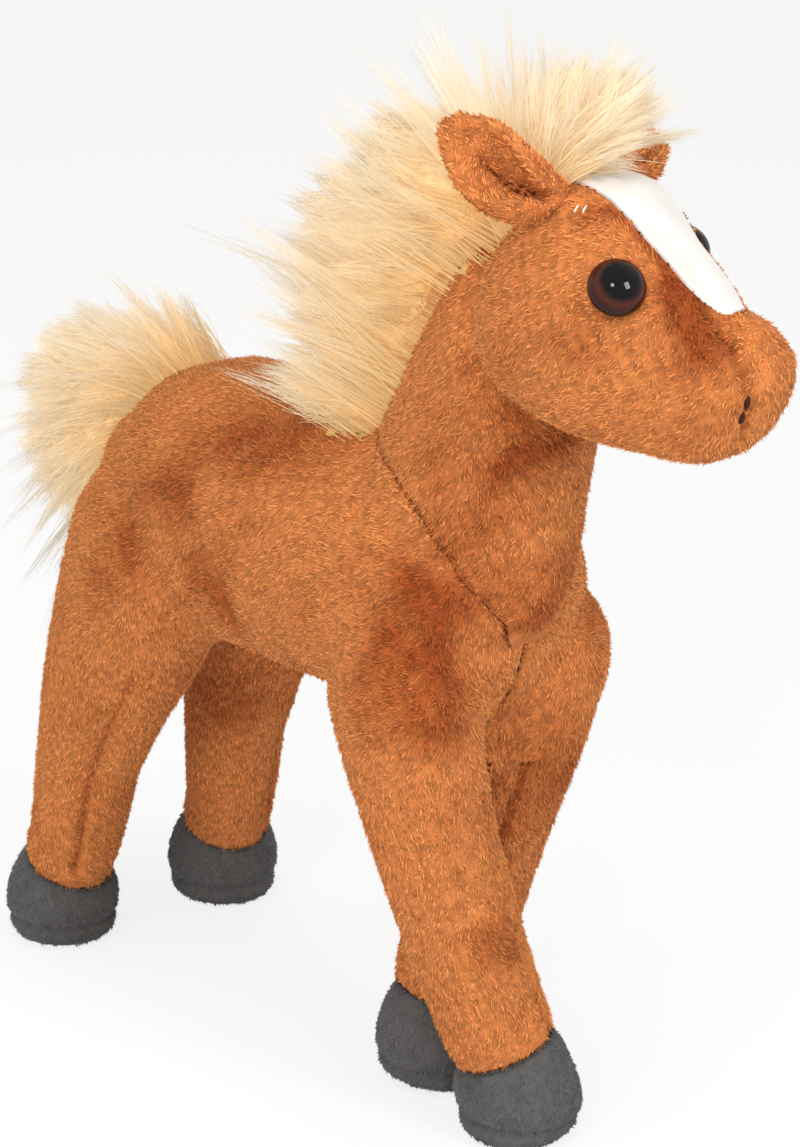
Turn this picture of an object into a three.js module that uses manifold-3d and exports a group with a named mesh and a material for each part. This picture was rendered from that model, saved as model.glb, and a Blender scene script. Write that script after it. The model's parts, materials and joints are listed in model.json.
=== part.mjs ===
// A standing plush foal: sewn plush covers over stuffing, faux-fur mane and tail, plastic eyes.
// Millimetres, +Z up, +X towards the nose, +Y to the foal's left. It stands on z = 0.
import * as THREE from "three";
import { mergeVertices } from "three/addons/utils/BufferGeometryUtils.js";
import Module from "manifold-3d";

const wasm = await Module();
wasm.setup();

// Cloth, seams and clearances
const plushThickness = 1.8; // backing and pressed pile of the brown plush
const hoofClothThickness = 1.6;
const furBackingThickness = 1.2;
const seamGap = 0.3; // between two pieces sewn edge to edge
const stuffingGap = 0.3; // between a cover and its stuffing
const seatGap = 0.3; // between a piece and what it rests on
const swingGap = 0.6; // round a piece that swings in its seat
const cutReach = 400; // half side of the blocks that cut a piece

// Torso
const torsoLength = 168; // rump to chest
const torsoRear = -70; // end of the rump
const torsoWidth = 76;
const torsoDepth = 76;
const torsoHeight = 150; // middle of the barrel above the floor
const rumpRound = 17;
const chestRound = 14;
const bellyGussetWidth = 34;

// Neck
const neckWidth = 52;
const neckDepth = 72; // fore and aft, at the base
const neckSetback = 30; // middle of its base behind the end of the chest
const neckBaseRise = 8; // the same above the middle of the barrel
const neckBaseX = torsoRear + torsoLength - neckSetback;
const neckBaseZ = torsoHeight + neckBaseRise;
const neckRise = 74;
const neckLean = 34; // how far its top is ahead of its base
const neckRound = 10;

// Head, in its own frame with the origin at the middle of the cheeks
const headReach = 16; // ahead of the top of the neck
const headLift = 3; // above the top of the neck
const headX = neckBaseX + neckLean + headReach;
const headZ = neckBaseZ + neckRise + headLift;
const headTurn = 24; // degrees, to the foal's left
const headLength = 56; // first station to last
const headWidth = 60;
const headDepth = 66;
const headFall = 19; // drop of its middle line over that length
const headBack = 12; // first station behind the origin
const crownRound = 15;
const muzzleRound = 5;
const nodRange = 10; // degrees each way
const napeReach = 1.2; // how much rounder than the head the seat in the neck is

// White blaze down the forehead
const blazeStart = -8; // its top edge, ahead of the cheek middle
const blazeLength = 43;
const blazeTopWidth = 38;
const blazeEndWidth = 17;
const blazeLowest = -8; // below the cheek middle

// Eyes: a domed button, its shank and a lock washer behind the cloth
const eyeDiameter = 14;
const eyeDomeHeight = 5.5;
const eyeForward = 14.5;
const eyeRise = 8.7;
const shankDiameter = 3.6;
const shankLength = 11;
const washerDiameter = 13;
const washerThickness = 1.4;
const washerSetback = 3.4; // its face behind the cloth's outside
const shankClearance = 0.3;

// Nostril stitches
const nostrilForward = 45;
const nostrilRise = -18.5;
const nostrilSpread = 12;
const stitchLength = 4.6;
const stitchDiameter = 1.8;

// Ears
const earLength = 34;
const earWidth = 22;
const earLayer = 2.2; // thickness of each of its two cloths
const earCup = 5; // how far its edges curl forward
const earForward = -2; // root ahead of the cheek middle
const earSpread = 16; // root from the middle plane
const earRise = 24; // root above the cheek middle
const earRoll = 2.6; // radius of the rolled root
const earRollLength = 13;
const earLean = [-0.68, 0.46, 0.57]; // direction of the left ear from its root
const earFlop = 15; // degrees each way
const earRoom = 4.4; // kept free in the fur round an ear

// Mane, forelock and tail
const maneWidth = 26;
const maneLength = 50; // of its hair
const maneTufts = 7;
const maneBackingWidth = 16;
const forelockWidth = 34;
const forelockHeight = 27;
const forelockTufts = 4;
const tailLength = 68;
const tailWidth = 30;
const tailDepth = 46;
const tailForward = 10; // root ahead of the end of the rump
const tailRise = 19; // root above the middle of the barrel
const tailTufts = 3;
const tailSwing = 20; // degrees each way
const tailTapeLength = 34;
const tailTapeDiameter = 8;

// Legs and hooves
const hoofLength = 36;
const hoofWidth = 34;
const hoofHeight = 22; // its seam above the floor
const hoofFlat = 1.5; // depth of its round underside that is pressed flat
const soleHeight = 6;
const hoofCollar = 0.8; // how much wider than the ankle it is at the seam
const soleThickness = 1.6;
const legSwing = 12; // degrees
const legRoom = 1.6; // round a leg in its seat
const legSeatShare = 0.34; // how far down the leg its seat reaches
const hipOffset = 5; // from the middle plane to the flat inner face that a leg turns on
const foreTopDepth = 42; // fore and aft, at the shoulder
const foreTopWidth = 40;
const foreAnkle = 28;
const foreHipSetback = 24; // hip behind the end of the chest
const foreHipSpread = 23; // hip from the middle plane
const foreHipDrop = 24; // hip below the middle of the barrel
const hindTopDepth = 60;
const hindTopWidth = 40;
const hindAnkle = 27;
const hindHipAhead = 32; // hip ahead of the end of the rump
const hindHipSpread = 21;
const hindHipDrop = 17;
const foreRightStep = 25; // hoof ahead of the hip
const foreLeftStep = 15; // hoof behind the hip
const hindRightStep = 46;
const hindLeftStep = 37;
const foreRightSpread = 1; // hoof from the middle plane
const hindRightSpread = 28;
const hindLeftSpread = 27;
const foreHipX = torsoRear + torsoLength - foreHipSetback;
const foreHipZ = torsoHeight - foreHipDrop;
const hindHipX = torsoRear + hindHipAhead;
const hindHipZ = torsoHeight - hindHipDrop;
const foreLeg = { topDepth: foreTopDepth, topWidth: foreTopWidth, ankle: foreAnkle };
const hindLeg = { topDepth: hindTopDepth, topWidth: hindTopWidth, ankle: hindAnkle };
const legs = [
  {
    ...foreLeg,
    name: "front_right",
    hip: [foreHipX, -foreHipSpread, foreHipZ],
    hoof: [foreHipX + foreRightStep, -foreRightSpread],
    shares: "ahead",
    swing: [0, legSwing],
  },
  {
    ...foreLeg,
    name: "front_left",
    hip: [foreHipX, foreHipSpread, foreHipZ],
    hoof: [foreHipX - foreLeftStep, 0],
    shares: "behind",
    swing: [legSwing, 0],
  },
  {
    ...hindLeg,
    name: "hind_right",
    hip: [hindHipX, -hindHipSpread, hindHipZ],
    hoof: [hindHipX - hindRightStep, -hindRightSpread],
    shares: "hind",
    swing: [legSwing, legSwing],
  },
  {
    ...hindLeg,
    name: "hind_left",
    hip: [hindHipX, hindHipSpread, hindHipZ],
    hoof: [hindHipX - hindLeftStep, hindLeftSpread],
    shares: "hind",
    swing: [legSwing, legSwing],
  },
];

// Facets
const wideSides = 20;
const slimSides = 14;
const capRings = 2;

// Materials
const brownPlush = new THREE.MeshStandardMaterial({ color: 0xb86a36, roughness: 0.95, metalness: 0 });
const whitePlush = new THREE.MeshStandardMaterial({ color: 0xf4f0ea, roughness: 0.95, metalness: 0 });
const greyPlush = new THREE.MeshStandardMaterial({ color: 0x55565a, roughness: 0.95, metalness: 0 });
const creamFur = new THREE.MeshStandardMaterial({ color: 0xe9d3a0, roughness: 0.9, metalness: 0 });
const furBacking = new THREE.MeshStandardMaterial({ color: 0xd9c08c, roughness: 0.95, metalness: 0 });
const fibreStuffing = new THREE.MeshStandardMaterial({ color: 0xf7f7f4, roughness: 1, metalness: 0 });
const eyePlastic = new THREE.MeshStandardMaterial({ color: 0x1c0d09, roughness: 0.12, metalness: 0 });
const washerPlastic = new THREE.MeshStandardMaterial({ color: 0xe6e6e2, roughness: 0.5, metalness: 0 });
const darkThread = new THREE.MeshStandardMaterial({ color: 0x2a160c, roughness: 0.9, metalness: 0 });

const leftward = new THREE.Vector3(0, 1, 0);
const upward = new THREE.Vector3(0, 0, 1);
const downward = new THREE.Vector3(0, 0, -1);

// A vector from a list of three numbers.
function vector(list) {
  return new THREE.Vector3(...list);
}

// A closed tube of rings along a smooth line, with a round cap at each end.
// Each station has its middle point and its half sizes beside, above and below the line.
function tube(stations, { rings, sides, startCap, endCap, cup = 0 }) {
  const line = new THREE.CatmullRomCurve3(stations.map((s) => s.middle), false, "centripetal");
  const halves = stations.map((s) => new THREE.Vector3(s.side, s.above, s.below));
  const sizes = new THREE.CatmullRomCurve3(halves, false, "centripetal");
  const points = [];
  const faces = [];
  const addRing = (at, outward, scale) => {
    const forward = line.getTangent(at);
    const beside = leftward.clone().addScaledVector(forward, -forward.y).normalize();
    const above = new THREE.Vector3().crossVectors(forward, beside);
    const size = sizes.getPoint(at).multiplyScalar(scale);
    const middle = line.getPoint(at).addScaledVector(forward, outward);
    for (let i = 0; i < sides; i += 1) {
      const angle = (2 * Math.PI * i) / sides;
      const rise = Math.sin(angle) * (Math.sin(angle) > 0 ? size.y : size.z);
      const curl = cup * scale * Math.cos(angle) ** 2;
      const point = middle.clone().addScaledVector(beside, size.x * Math.cos(angle));
      points.push(point.addScaledVector(above, rise + curl));
    }
  };
  const capSteps = Array.from({ length: capRings }, (_, k) => (k + 1) / (capRings + 1));
  const capAngles = capSteps.map((share) => (share * Math.PI) / 2);
  for (const angle of capAngles.toReversed()) addRing(0, -startCap * Math.sin(angle), Math.cos(angle));
  for (let k = 0; k <= rings; k += 1) addRing(k / rings, 0, 1);
  for (const angle of capAngles) addRing(1, endCap * Math.sin(angle), Math.cos(angle));
  const lastRing = points.length - sides;
  for (let ring = 0; ring < lastRing; ring += sides) {
    for (let i = 0; i < sides; i += 1) {
      const j = (i + 1) % sides;
      faces.push([ring + i, ring + j, ring + sides + i]);
      faces.push([ring + j, ring + sides + j, ring + sides + i]);
    }
  }
  const tip = points.length;
  points.push(line.getPoint(0).addScaledVector(line.getTangent(0), -startCap));
  points.push(line.getPoint(1).addScaledVector(line.getTangent(1), endCap));
  for (let i = 0; i < sides; i += 1) {
    const j = (i + 1) % sides;
    faces.push([tip, j, i], [tip + 1, lastRing + i, lastRing + j]);
  }
  return { points, faces, line };
}

// The outward direction at each point of a form.
function normalsOf(form) {
  const normals = form.points.map(() => new THREE.Vector3());
  for (const [a, b, c] of form.faces) {
    const [p, q, r] = [form.points[a], form.points[b], form.points[c]];
    const across = q.clone().sub(p).cross(r.clone().sub(p));
    for (const i of [a, b, c]) normals[i].add(across);
  }
  return normals.map((n) => n.normalize());
}

// The same form moved by a matrix.
function moved(form, matrix) {
  return { ...form, points: form.points.map((p) => p.clone().applyMatrix4(matrix)) };
}

// A solid whose surface lies outside the form by the offset, or inside it where that is negative.
function solidOf(form, offset = 0) {
  const normals = normalsOf(form);
  const flat = form.points.flatMap((p, i) => p.clone().addScaledVector(normals[i], offset).toArray());
  return new wasm.Manifold(
    new wasm.Mesh({
      numProp: 3,
      vertProperties: new Float32Array(flat),
      triVerts: new Uint32Array(form.faces.flat()),
    }),
  );
}

// A solid from a closed three.js geometry, moved by a matrix.
function solidFrom(geometry, matrix = new THREE.Matrix4()) {
  const bare = (geometry.index ? geometry.toNonIndexed() : geometry.clone()).applyMatrix4(matrix);
  bare.deleteAttribute("normal");
  bare.deleteAttribute("uv");
  const merged = mergeVertices(bare);
  return new wasm.Manifold(
    new wasm.Mesh({
      numProp: 3,
      vertProperties: merged.attributes.position.array,
      triVerts: new Uint32Array(merged.index.array),
    }),
  );
}

// A block between two corners.
function block(low, high) {
  const size = vector(high).sub(vector(low));
  const middle = vector(high).add(vector(low)).multiplyScalar(1 / 2);
  return solidFrom(new THREE.BoxGeometry(size.x, size.y, size.z), new THREE.Matrix4().setPosition(middle));
}

// A matrix that puts the +Z axis along a direction, from a point.
function along(point, direction) {
  const turn = new THREE.Quaternion().setFromUnitVectors(upward, direction.clone().normalize());
  return new THREE.Matrix4().compose(point, turn, new THREE.Vector3(1, 1, 1));
}

// Everything beyond a plane, on the side that its normal points to.
function beyond(point, normal) {
  const place = along(point.clone().addScaledVector(normal.clone().normalize(), cutReach), normal);
  return solidFrom(new THREE.BoxGeometry(2 * cutReach, 2 * cutReach, 2 * cutReach), place);
}

// A round rod from a point in a direction.
function rod(point, direction, radius, length) {
  const geometry = new THREE.CylinderGeometry(radius, radius, length, slimSides);
  geometry.rotateX(Math.PI / 2).translate(0, 0, length / 2);
  return solidFrom(geometry, along(point, direction));
}

// The largest body of a solid, without the crumbs that a cut leaves.
function mainBody(solid) {
  return solid.decompose().reduce((best, s) => (s.volume() > best.volume() ? s : best));
}

// A matrix that turns by so many degrees about an axis through a point.
function turnAbout(point, axis, degrees) {
  const turn = new THREE.Matrix4().makeRotationAxis(axis, THREE.MathUtils.degToRad(degrees));
  const there = new THREE.Matrix4().setPosition(point);
  const back = new THREE.Matrix4().setPosition(point.clone().negate());
  return there.multiply(turn).multiply(back);
}

// Where a ray from inside a form leaves it, and the smooth outward direction there.
function surfaceOf(form, origin, direction) {
  const normals = normalsOf(form);
  const ray = new THREE.Ray(origin, direction.clone().normalize());
  const hit = new THREE.Vector3();
  for (const [a, b, c] of form.faces) {
    const corners = [a, b, c].map((i) => form.points[i]);
    if (!ray.intersectTriangle(...corners, false, hit)) continue;
    const share = THREE.Triangle.getBarycoord(hit, ...corners, new THREE.Vector3());
    const normal = normals[a].clone().multiplyScalar(share.x);
    normal.addScaledVector(normals[b], share.y).addScaledVector(normals[c], share.z);
    return { point: hit, normal: normal.normalize() };
  }
  throw new Error("the ray doesn't meet the form");
}

// A mesh of a solid, with its points given from the origin of the group that holds it.
function piece(name, solid, material, origin = new THREE.Vector3()) {
  const { vertProperties, triVerts } = mainBody(solid).getMesh();
  const geometry = new THREE.BufferGeometry();
  geometry.setAttribute("position", new THREE.BufferAttribute(new Float32Array(vertProperties), 3));
  geometry.setIndex(new THREE.BufferAttribute(new Uint32Array(triVerts), 1));
  geometry.translate(-origin.x, -origin.y, -origin.z);
  geometry.computeVertexNormals();
  const mesh = new THREE.Mesh(geometry, material);
  mesh.name = name;
  return mesh;
}

// A named group at a point.
function groupAt(name, point, children) {
  const group = new THREE.Group();
  group.name = name;
  group.position.copy(point);
  group.add(...children);
  return group;
}

// Stations of the torso: shares of its length, depth, half width and half depth.
const torsoShares = [
  { along: 0.1, rise: -0.04, side: 0.72, above: 0.66, below: 0.9 },
  { along: 0.22, rise: -0.02, side: 0.96, above: 1.02, below: 1.06 },
  { along: 0.42, rise: 0.0, side: 1.0, above: 1.02, below: 1.1 },
  { along: 0.62, rise: 0.0, side: 0.97, above: 0.99, below: 1.08 },
  { along: 0.79, rise: -0.02, side: 0.95, above: 1.0, below: 1.02 },
  { along: 0.914, rise: -0.06, side: 0.78, above: 0.84, below: 0.8 },
];

function torsoForm() {
  const stations = torsoShares.map((s) => ({
    middle: new THREE.Vector3(torsoRear + s.along * torsoLength, 0, torsoHeight + s.rise * torsoDepth),
    side: (s.side * torsoWidth) / 2,
    above: (s.above * torsoDepth) / 2,
    below: (s.below * torsoDepth) / 2,
  }));
  return tube(stations, { rings: 8, sides: wideSides, startCap: rumpRound, endCap: chestRound });
}

// Stations of the neck: shares of its lean, rise, half width and half depth. Above is the crest.
const neckShares = [
  { along: 0, rise: 0, side: 1.1, above: 0.94, below: 1.0 },
  { along: 0.3, rise: 0.33, side: 0.96, above: 0.86, below: 0.84 },
  { along: 0.66, rise: 0.68, side: 0.86, above: 0.8, below: 0.66 },
  { along: 1, rise: 1, side: 0.8, above: 0.68, below: 0.5 },
];

function neckForm() {
  const stations = neckShares.map((s) => ({
    middle: new THREE.Vector3(neckBaseX + s.along * neckLean, 0, neckBaseZ + s.rise * neckRise),
    side: (s.side * neckWidth) / 2,
    above: (s.above * neckDepth) / 2,
    below: (s.below * neckDepth) / 2,
  }));
  return tube(stations, { rings: 5, sides: wideSides, startCap: neckRound, endCap: neckRound });
}

// Stations of the head: shares of its length, fall, half width and half depth. Above is the forehead.
const headShares = [
  { along: 0, fall: 0, side: 0.84, above: 0.76, below: 0.82 },
  { along: 0.27, fall: 0.24, side: 1.0, above: 1.1, below: 0.88 },
  { along: 0.48, fall: 0.47, side: 0.91, above: 1.0, below: 0.84 },
  { along: 0.73, fall: 0.74, side: 0.63, above: 0.63, below: 0.75 },
  { along: 0.89, fall: 0.89, side: 0.56, above: 0.5, below: 0.66 },
  { along: 1, fall: 1, side: 0.47, above: 0.4, below: 0.48 },
];

function headForm() {
  const stations = headShares.map((s) => ({
    middle: new THREE.Vector3(s.along * headLength - headBack, 0, -s.fall * headFall),
    side: (s.side * headWidth) / 2,
    above: (s.above * headDepth) / 2,
    below: (s.below * headDepth) / 2,
  }));
  return tube(stations, { rings: 9, sides: wideSides, startCap: crownRound, endCap: muzzleRound });
}

// Stations of the legs from the hip to the ankle: shares of the way down, of the way across and
// inward to the hoof, and of the change from the top size to the ankle size.
const legShares = {
  ahead: [
    { down: 0, across: 0, inward: 0, taper: 0 },
    { down: 0.25, across: 0.12, inward: 0.15, taper: 0.42 },
    { down: 0.5, across: 0.38, inward: 0.38, taper: 0.64 },
    { down: 0.75, across: 0.62, inward: 0.66, taper: 0.76 },
    { down: 1, across: 1, inward: 1, taper: 1 },
  ],
  behind: [
    { down: 0, across: 0, inward: 0, taper: 0 },
    { down: 0.25, across: 0.28, inward: 0.15, taper: 0.42 },
    { down: 0.5, across: 0.73, inward: 0.38, taper: 0.64 },
    { down: 0.75, across: 0.92, inward: 0.66, taper: 0.76 },
    { down: 1, across: 1, inward: 1, taper: 1 },
  ],
  hind: [
    { down: 0, across: 0, inward: 0, taper: 0 },
    { down: 0.25, across: 0.3, inward: 0.25, taper: 0.22 },
    { down: 0.5, across: 0.61, inward: 0.5, taper: 0.68 },
    { down: 0.75, across: 0.74, inward: 0.75, taper: 0.94 },
    { down: 1, across: 1, inward: 1, taper: 1 },
  ],
};

function legForm(leg) {
  const hip = vector(leg.hip);
  const foot = new THREE.Vector3(leg.hoof[0], leg.hoof[1], hoofHeight / 2);
  const half = (top, taper) => THREE.MathUtils.lerp(top, leg.ankle, taper) / 2;
  const stations = legShares[leg.shares].map((s) => ({
    middle: new THREE.Vector3(
      THREE.MathUtils.lerp(hip.x, foot.x, s.across),
      THREE.MathUtils.lerp(hip.y, foot.y, s.inward),
      THREE.MathUtils.lerp(hip.z, foot.z, s.down),
    ),
    side: half(leg.topWidth, s.taper),
    above: half(leg.topDepth, s.taper),
    below: half(leg.topDepth, s.taper),
  }));
  const caps = { startCap: leg.topDepth / 2, endCap: leg.ankle / 4 };
  return tube(stations, { rings: 5, sides: slimSides, ...caps });
}

// The seam between leg and hoof: a point on the leg's line and the line's direction there.
function ankleOf(form) {
  const stepShare = 0.01;
  let at = 1;
  while (form.line.getPoint(at).z < hoofHeight) at -= stepShare;
  return { point: form.line.getPoint(at), down: form.line.getTangent(at) };
}

// Stations of the hoof from above the seam down: shares of its height and of its fullness.
const hoofShares = [
  { down: -0.3, full: -0.1 },
  { down: 0, full: 0 },
  { down: 0.3, full: 0.8 },
  { down: 0.6, full: 1 },
  { down: 0.82, full: 0.86 },
];

function hoofForm(leg, ankle) {
  const bottom = new THREE.Vector3(leg.hoof[0], leg.hoof[1], -hoofFlat);
  const narrow = leg.ankle / 2 + hoofCollar;
  const stations = hoofShares.map((s) => ({
    middle: ankle.point.clone().lerp(bottom, s.down),
    side: THREE.MathUtils.lerp(narrow, hoofWidth / 2, s.full),
    above: THREE.MathUtils.lerp(narrow, hoofLength / 2, s.full),
    below: THREE.MathUtils.lerp(narrow, hoofLength / 2, s.full),
  }));
  const endCap = ankle.point.distanceTo(bottom) * (1 - hoofShares.at(-1).down);
  return tube(stations, { rings: 5, sides: slimSides, startCap: hoofHeight / 4, endCap });
}

// Stations of the mane up its crest, from the withers to the nape: shares of the neck's lean and
// rise, and of the hair's length. Above is the way its hair stands.
const maneShares = [
  { along: -1.25, rise: 0.3, hair: 0.34 },
  { along: -0.8, rise: 0.48, hair: 0.88 },
  { along: -0.4, rise: 0.74, hair: 1.0 },
  { along: 0, rise: 1.0, hair: 0.95 },
  { along: 0.36, rise: 1.28, hair: 0.7 },
];

// The hair's length at each ring of a fur piece, so that its edge runs in tufts.
function withTufts(stations, tufts, dip) {
  const line = new THREE.CatmullRomCurve3(stations.map((s) => s.middle), false, "centripetal");
  const halves = stations.map((s) => new THREE.Vector3(s.side, s.above, s.below));
  const sizes = new THREE.CatmullRomCurve3(halves, false, "centripetal");
  return Array.from({ length: 2 * tufts + 1 }, (_, k) => {
    const at = k / (2 * tufts);
    const size = sizes.getPoint(at);
    const above = k % 2 ? size.y : size.y * dip;
    return { middle: line.getPoint(at), side: size.x, above, below: size.z };
  });
}

function maneForm() {
  const dipShare = 0.8;
  const rootShare = 0.42;
  const stations = maneShares.map((s) => ({
    middle: new THREE.Vector3(neckBaseX + s.along * neckLean, 0, neckBaseZ + s.rise * neckRise),
    side: maneWidth / 2,
    above: s.hair * maneLength,
    below: rootShare * maneWidth,
  }));
  const tufted = withTufts(stations, maneTufts, dipShare);
  const caps = { startCap: maneWidth / 3, endCap: maneWidth / 4 };
  return tube(tufted, { rings: 2 * maneTufts, sides: slimSides, ...caps });
}

// Stations of the forelock from behind the ears to the blaze, in the head's frame: shares of its
// width, of the head's half depth and of the hair's height.
const forelockShares = [
  { ahead: -0.5, rise: 0.7, hair: 0.74 },
  { ahead: -0.2, rise: 0.78, hair: 1.0 },
  { ahead: 0.06, rise: 0.8, hair: 0.98 },
  { ahead: 0.28, rise: 0.72, hair: 0.74 },
];

function forelockForm() {
  const dipShare = 0.78;
  const sideShare = 0.36;
  const rootShare = 0.2;
  const stations = forelockShares.map((s) => ({
    middle: new THREE.Vector3(s.ahead * forelockWidth, 0, (s.rise * headDepth) / 2),
    side: sideShare * forelockWidth,
    above: s.hair * forelockHeight,
    below: rootShare * forelockWidth,
  }));
  const tufted = withTufts(stations, forelockTufts, dipShare);
  const caps = { startCap: forelockWidth / 5, endCap: forelockWidth / 5 };
  return tube(tufted, { rings: 2 * forelockTufts, sides: slimSides, ...caps });
}

// Stations of the tail from its root back and down: shares of its length, drop, width and depth.
const tailShares = [
  { back: 0, drop: 0, side: 0.34, above: 0.26, below: 0.26 },
  { back: 0.26, drop: -0.02, side: 0.8, above: 1.3, below: 0.7 },
  { back: 0.5, drop: 0.1, side: 1.0, above: 1.4, below: 1.2 },
  { back: 0.74, drop: 0.32, side: 0.86, above: 1.1, below: 1.5 },
  { back: 0.9, drop: 0.56, side: 0.42, above: 0.5, below: 1.0 },
];

function tailForm(root) {
  const dipShare = 0.84;
  const stations = tailShares.map((s) => ({
    middle: root.clone().add(new THREE.Vector3(-s.back * tailLength, 0, -s.drop * tailLength)),
    side: (s.side * tailWidth) / 2,
    above: (s.above * tailDepth) / 2,
    below: (s.below * tailDepth) / 2,
  }));
  const tufted = withTufts(stations, tailTufts, dipShare);
  const caps = { startCap: tailTapeDiameter / 2, endCap: tailLength / 16 };
  return tube(tufted, { rings: 2 * tailTufts, sides: slimSides, ...caps });
}

// Stations of an ear up from its root: shares of its length and half width.
const earShares = [
  { up: 0, side: 0.62 },
  { up: 0.3, side: 0.92 },
  { up: 0.6, side: 1.0 },
  { up: 0.85, side: 0.7 },
];

// One cloth of an ear, standing up from the origin with its hollow side forward.
function earForm(forward, fullness) {
  const stations = earShares.map((s) => ({
    middle: new THREE.Vector3(forward, 0, s.up * earLength),
    side: (s.side * fullness * earWidth) / 2,
    above: earLayer / 2,
    below: earLayer / 2,
  }));
  const endCap = earLength * (1 - earShares.at(-1).up) * fullness;
  const flipped = new THREE.Matrix4().makeRotationZ(Math.PI);
  return moved(tube(stations, { rings: 5, sides: slimSides, startCap: earLayer, endCap, cup: earCup }), flipped);
}

const torso = torsoForm();
const neck = neckForm();
const head = headForm();
const headPlace = new THREE.Matrix4()
  .makeRotationZ(THREE.MathUtils.degToRad(headTurn))
  .setPosition(headX, 0, headZ);
const headPoint = new THREE.Vector3().setFromMatrixPosition(headPlace);
const nodAxis = leftward.clone().transformDirection(headPlace);

// A round seat about the cheek middle, with room for the head to nod.
function headSeat(extra) {
  const room = napeReach + swingGap + extra;
  const sphere = new THREE.SphereGeometry(1, wideSides, slimSides);
  sphere.scale(headDepth / 2 + room, headWidth / 2 + room, headDepth / 2 + room);
  return solidFrom(sphere, headPlace);
}

// What lies between the middle plane and the face that a leg turns on, above the belly.
function betweenLegs(leg, half) {
  return block([-cutReach, -half, leg.hip[2] - leg.topDepth / 2], [cutReach, half, cutReach]);
}

// The room that a leg needs in the torso: a straight form that widens downwards as the leg swings.
function legSeat(leg) {
  const hip = vector(leg.hip);
  const { line } = legForm(leg);
  const below = line.getPoint(legSeatShare);
  const drop = hip.z - below.z;
  const reachAt = (degrees) => Math.tan(THREE.MathUtils.degToRad(degrees)) * drop;
  const [back, ahead] = leg.swing.map(reachAt);
  const stations = [0, 1 / 2, 1].map((share) => ({
    middle: hip.clone().lerp(below, share),
    side: leg.topWidth / 2,
    above: leg.topDepth / 2 + ahead * share,
    below: leg.topDepth / 2 + back * share,
  }));
  const caps = { startCap: leg.topDepth / 2, endCap: leg.topDepth / 4 };
  const room = solidOf(tube(stations, { rings: 2, sides: wideSides, ...caps }), legRoom);
  return room.subtract(betweenLegs(leg, hipOffset - seatGap));
}

// What is left of a piece of the torso or neck once every leg has room to swing.
function clearedForLegs(solid) {
  return legs.reduce((rest, leg) => rest.subtract(legSeat(leg)), solid);
}

function torsoPieces() {
  const neckOpening = solidOf(neck, -plushThickness);
  const inside = solidOf(torso, -plushThickness);
  const cover = clearedForLegs(solidOf(torso).subtract(inside).subtract(neckOpening));
  const half = bellyGussetWidth / 2;
  const stuffing = clearedForLegs(solidOf(torso, -plushThickness - stuffingGap));
  const under = block([-cutReach, -half, -cutReach], [cutReach, half, torsoHeight]);
  const seam = block(
    [-cutReach, -half - seamGap, -cutReach],
    [cutReach, half + seamGap, torsoHeight + seamGap],
  );
  const sides = cover.subtract(seam);
  const rightHalf = beyond(new THREE.Vector3(0, -seamGap / 2, 0), leftward.clone().negate());
  const leftHalf = beyond(new THREE.Vector3(0, seamGap / 2, 0), leftward);
  return [
    piece("side_panel_right", sides.intersect(rightHalf), brownPlush),
    piece("side_panel_left", sides.intersect(leftHalf), brownPlush),
    piece("belly_gusset", cover.intersect(under), brownPlush),
    piece("body_stuffing", stuffing, fibreStuffing),
  ];
}

function neckPieces() {
  const onTorso = (solid, gap) => solid.subtract(solidOf(torso, gap)).subtract(headSeat(0));
  const shell = solidOf(neck).subtract(solidOf(neck, -plushThickness));
  const band = solidOf(neck, seatGap + furBackingThickness).subtract(solidOf(neck, seatGap));
  const half = maneBackingWidth / 2;
  const crest = block([-cutReach, -half, neckBaseZ], [neckBaseX, half, cutReach]).add(
    block([-cutReach, -half, neckBaseZ + neckRise / 2], [neckBaseX + neckLean / 2, half, cutReach]),
  );
  const furSeat = solidOf(neck, furBackingThickness + 2 * seatGap);
  const fur = onTorso(solidOf(maneForm()), seatGap).subtract(furSeat).subtract(headSeat(seatGap));
  return [
    piece("neck_cover", clearedForLegs(onTorso(shell, seatGap)), brownPlush),
    piece("neck_stuffing", onTorso(solidOf(neck, -plushThickness - stuffingGap), seatGap), fibreStuffing),
    piece("mane_backing", onTorso(band, seatGap).intersect(crest), furBacking),
    piece("mane_fur", clearedForForelock(fur), creamFur),
  ];
}

// What is left of the mane once the forelock has room to nod with the head.
function clearedForForelock(solid) {
  const form = moved(forelockForm(), headPlace);
  const ears = ["right", "left"].map((side) => earPlace(side));
  return [-nodRange, 0, nodRange].reduce((rest, degrees) => {
    const turn = turnAbout(headPoint, nodAxis, degrees);
    const withoutForelock = rest.subtract(solidOf(moved(form, turn), swingGap));
    const inFrame = (place) => turn.clone().multiply(headPlace).multiply(place);
    return ears.reduce((left, place) => clearedForEar(left, inFrame(place)), withoutForelock);
  }, solid);
}

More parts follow.
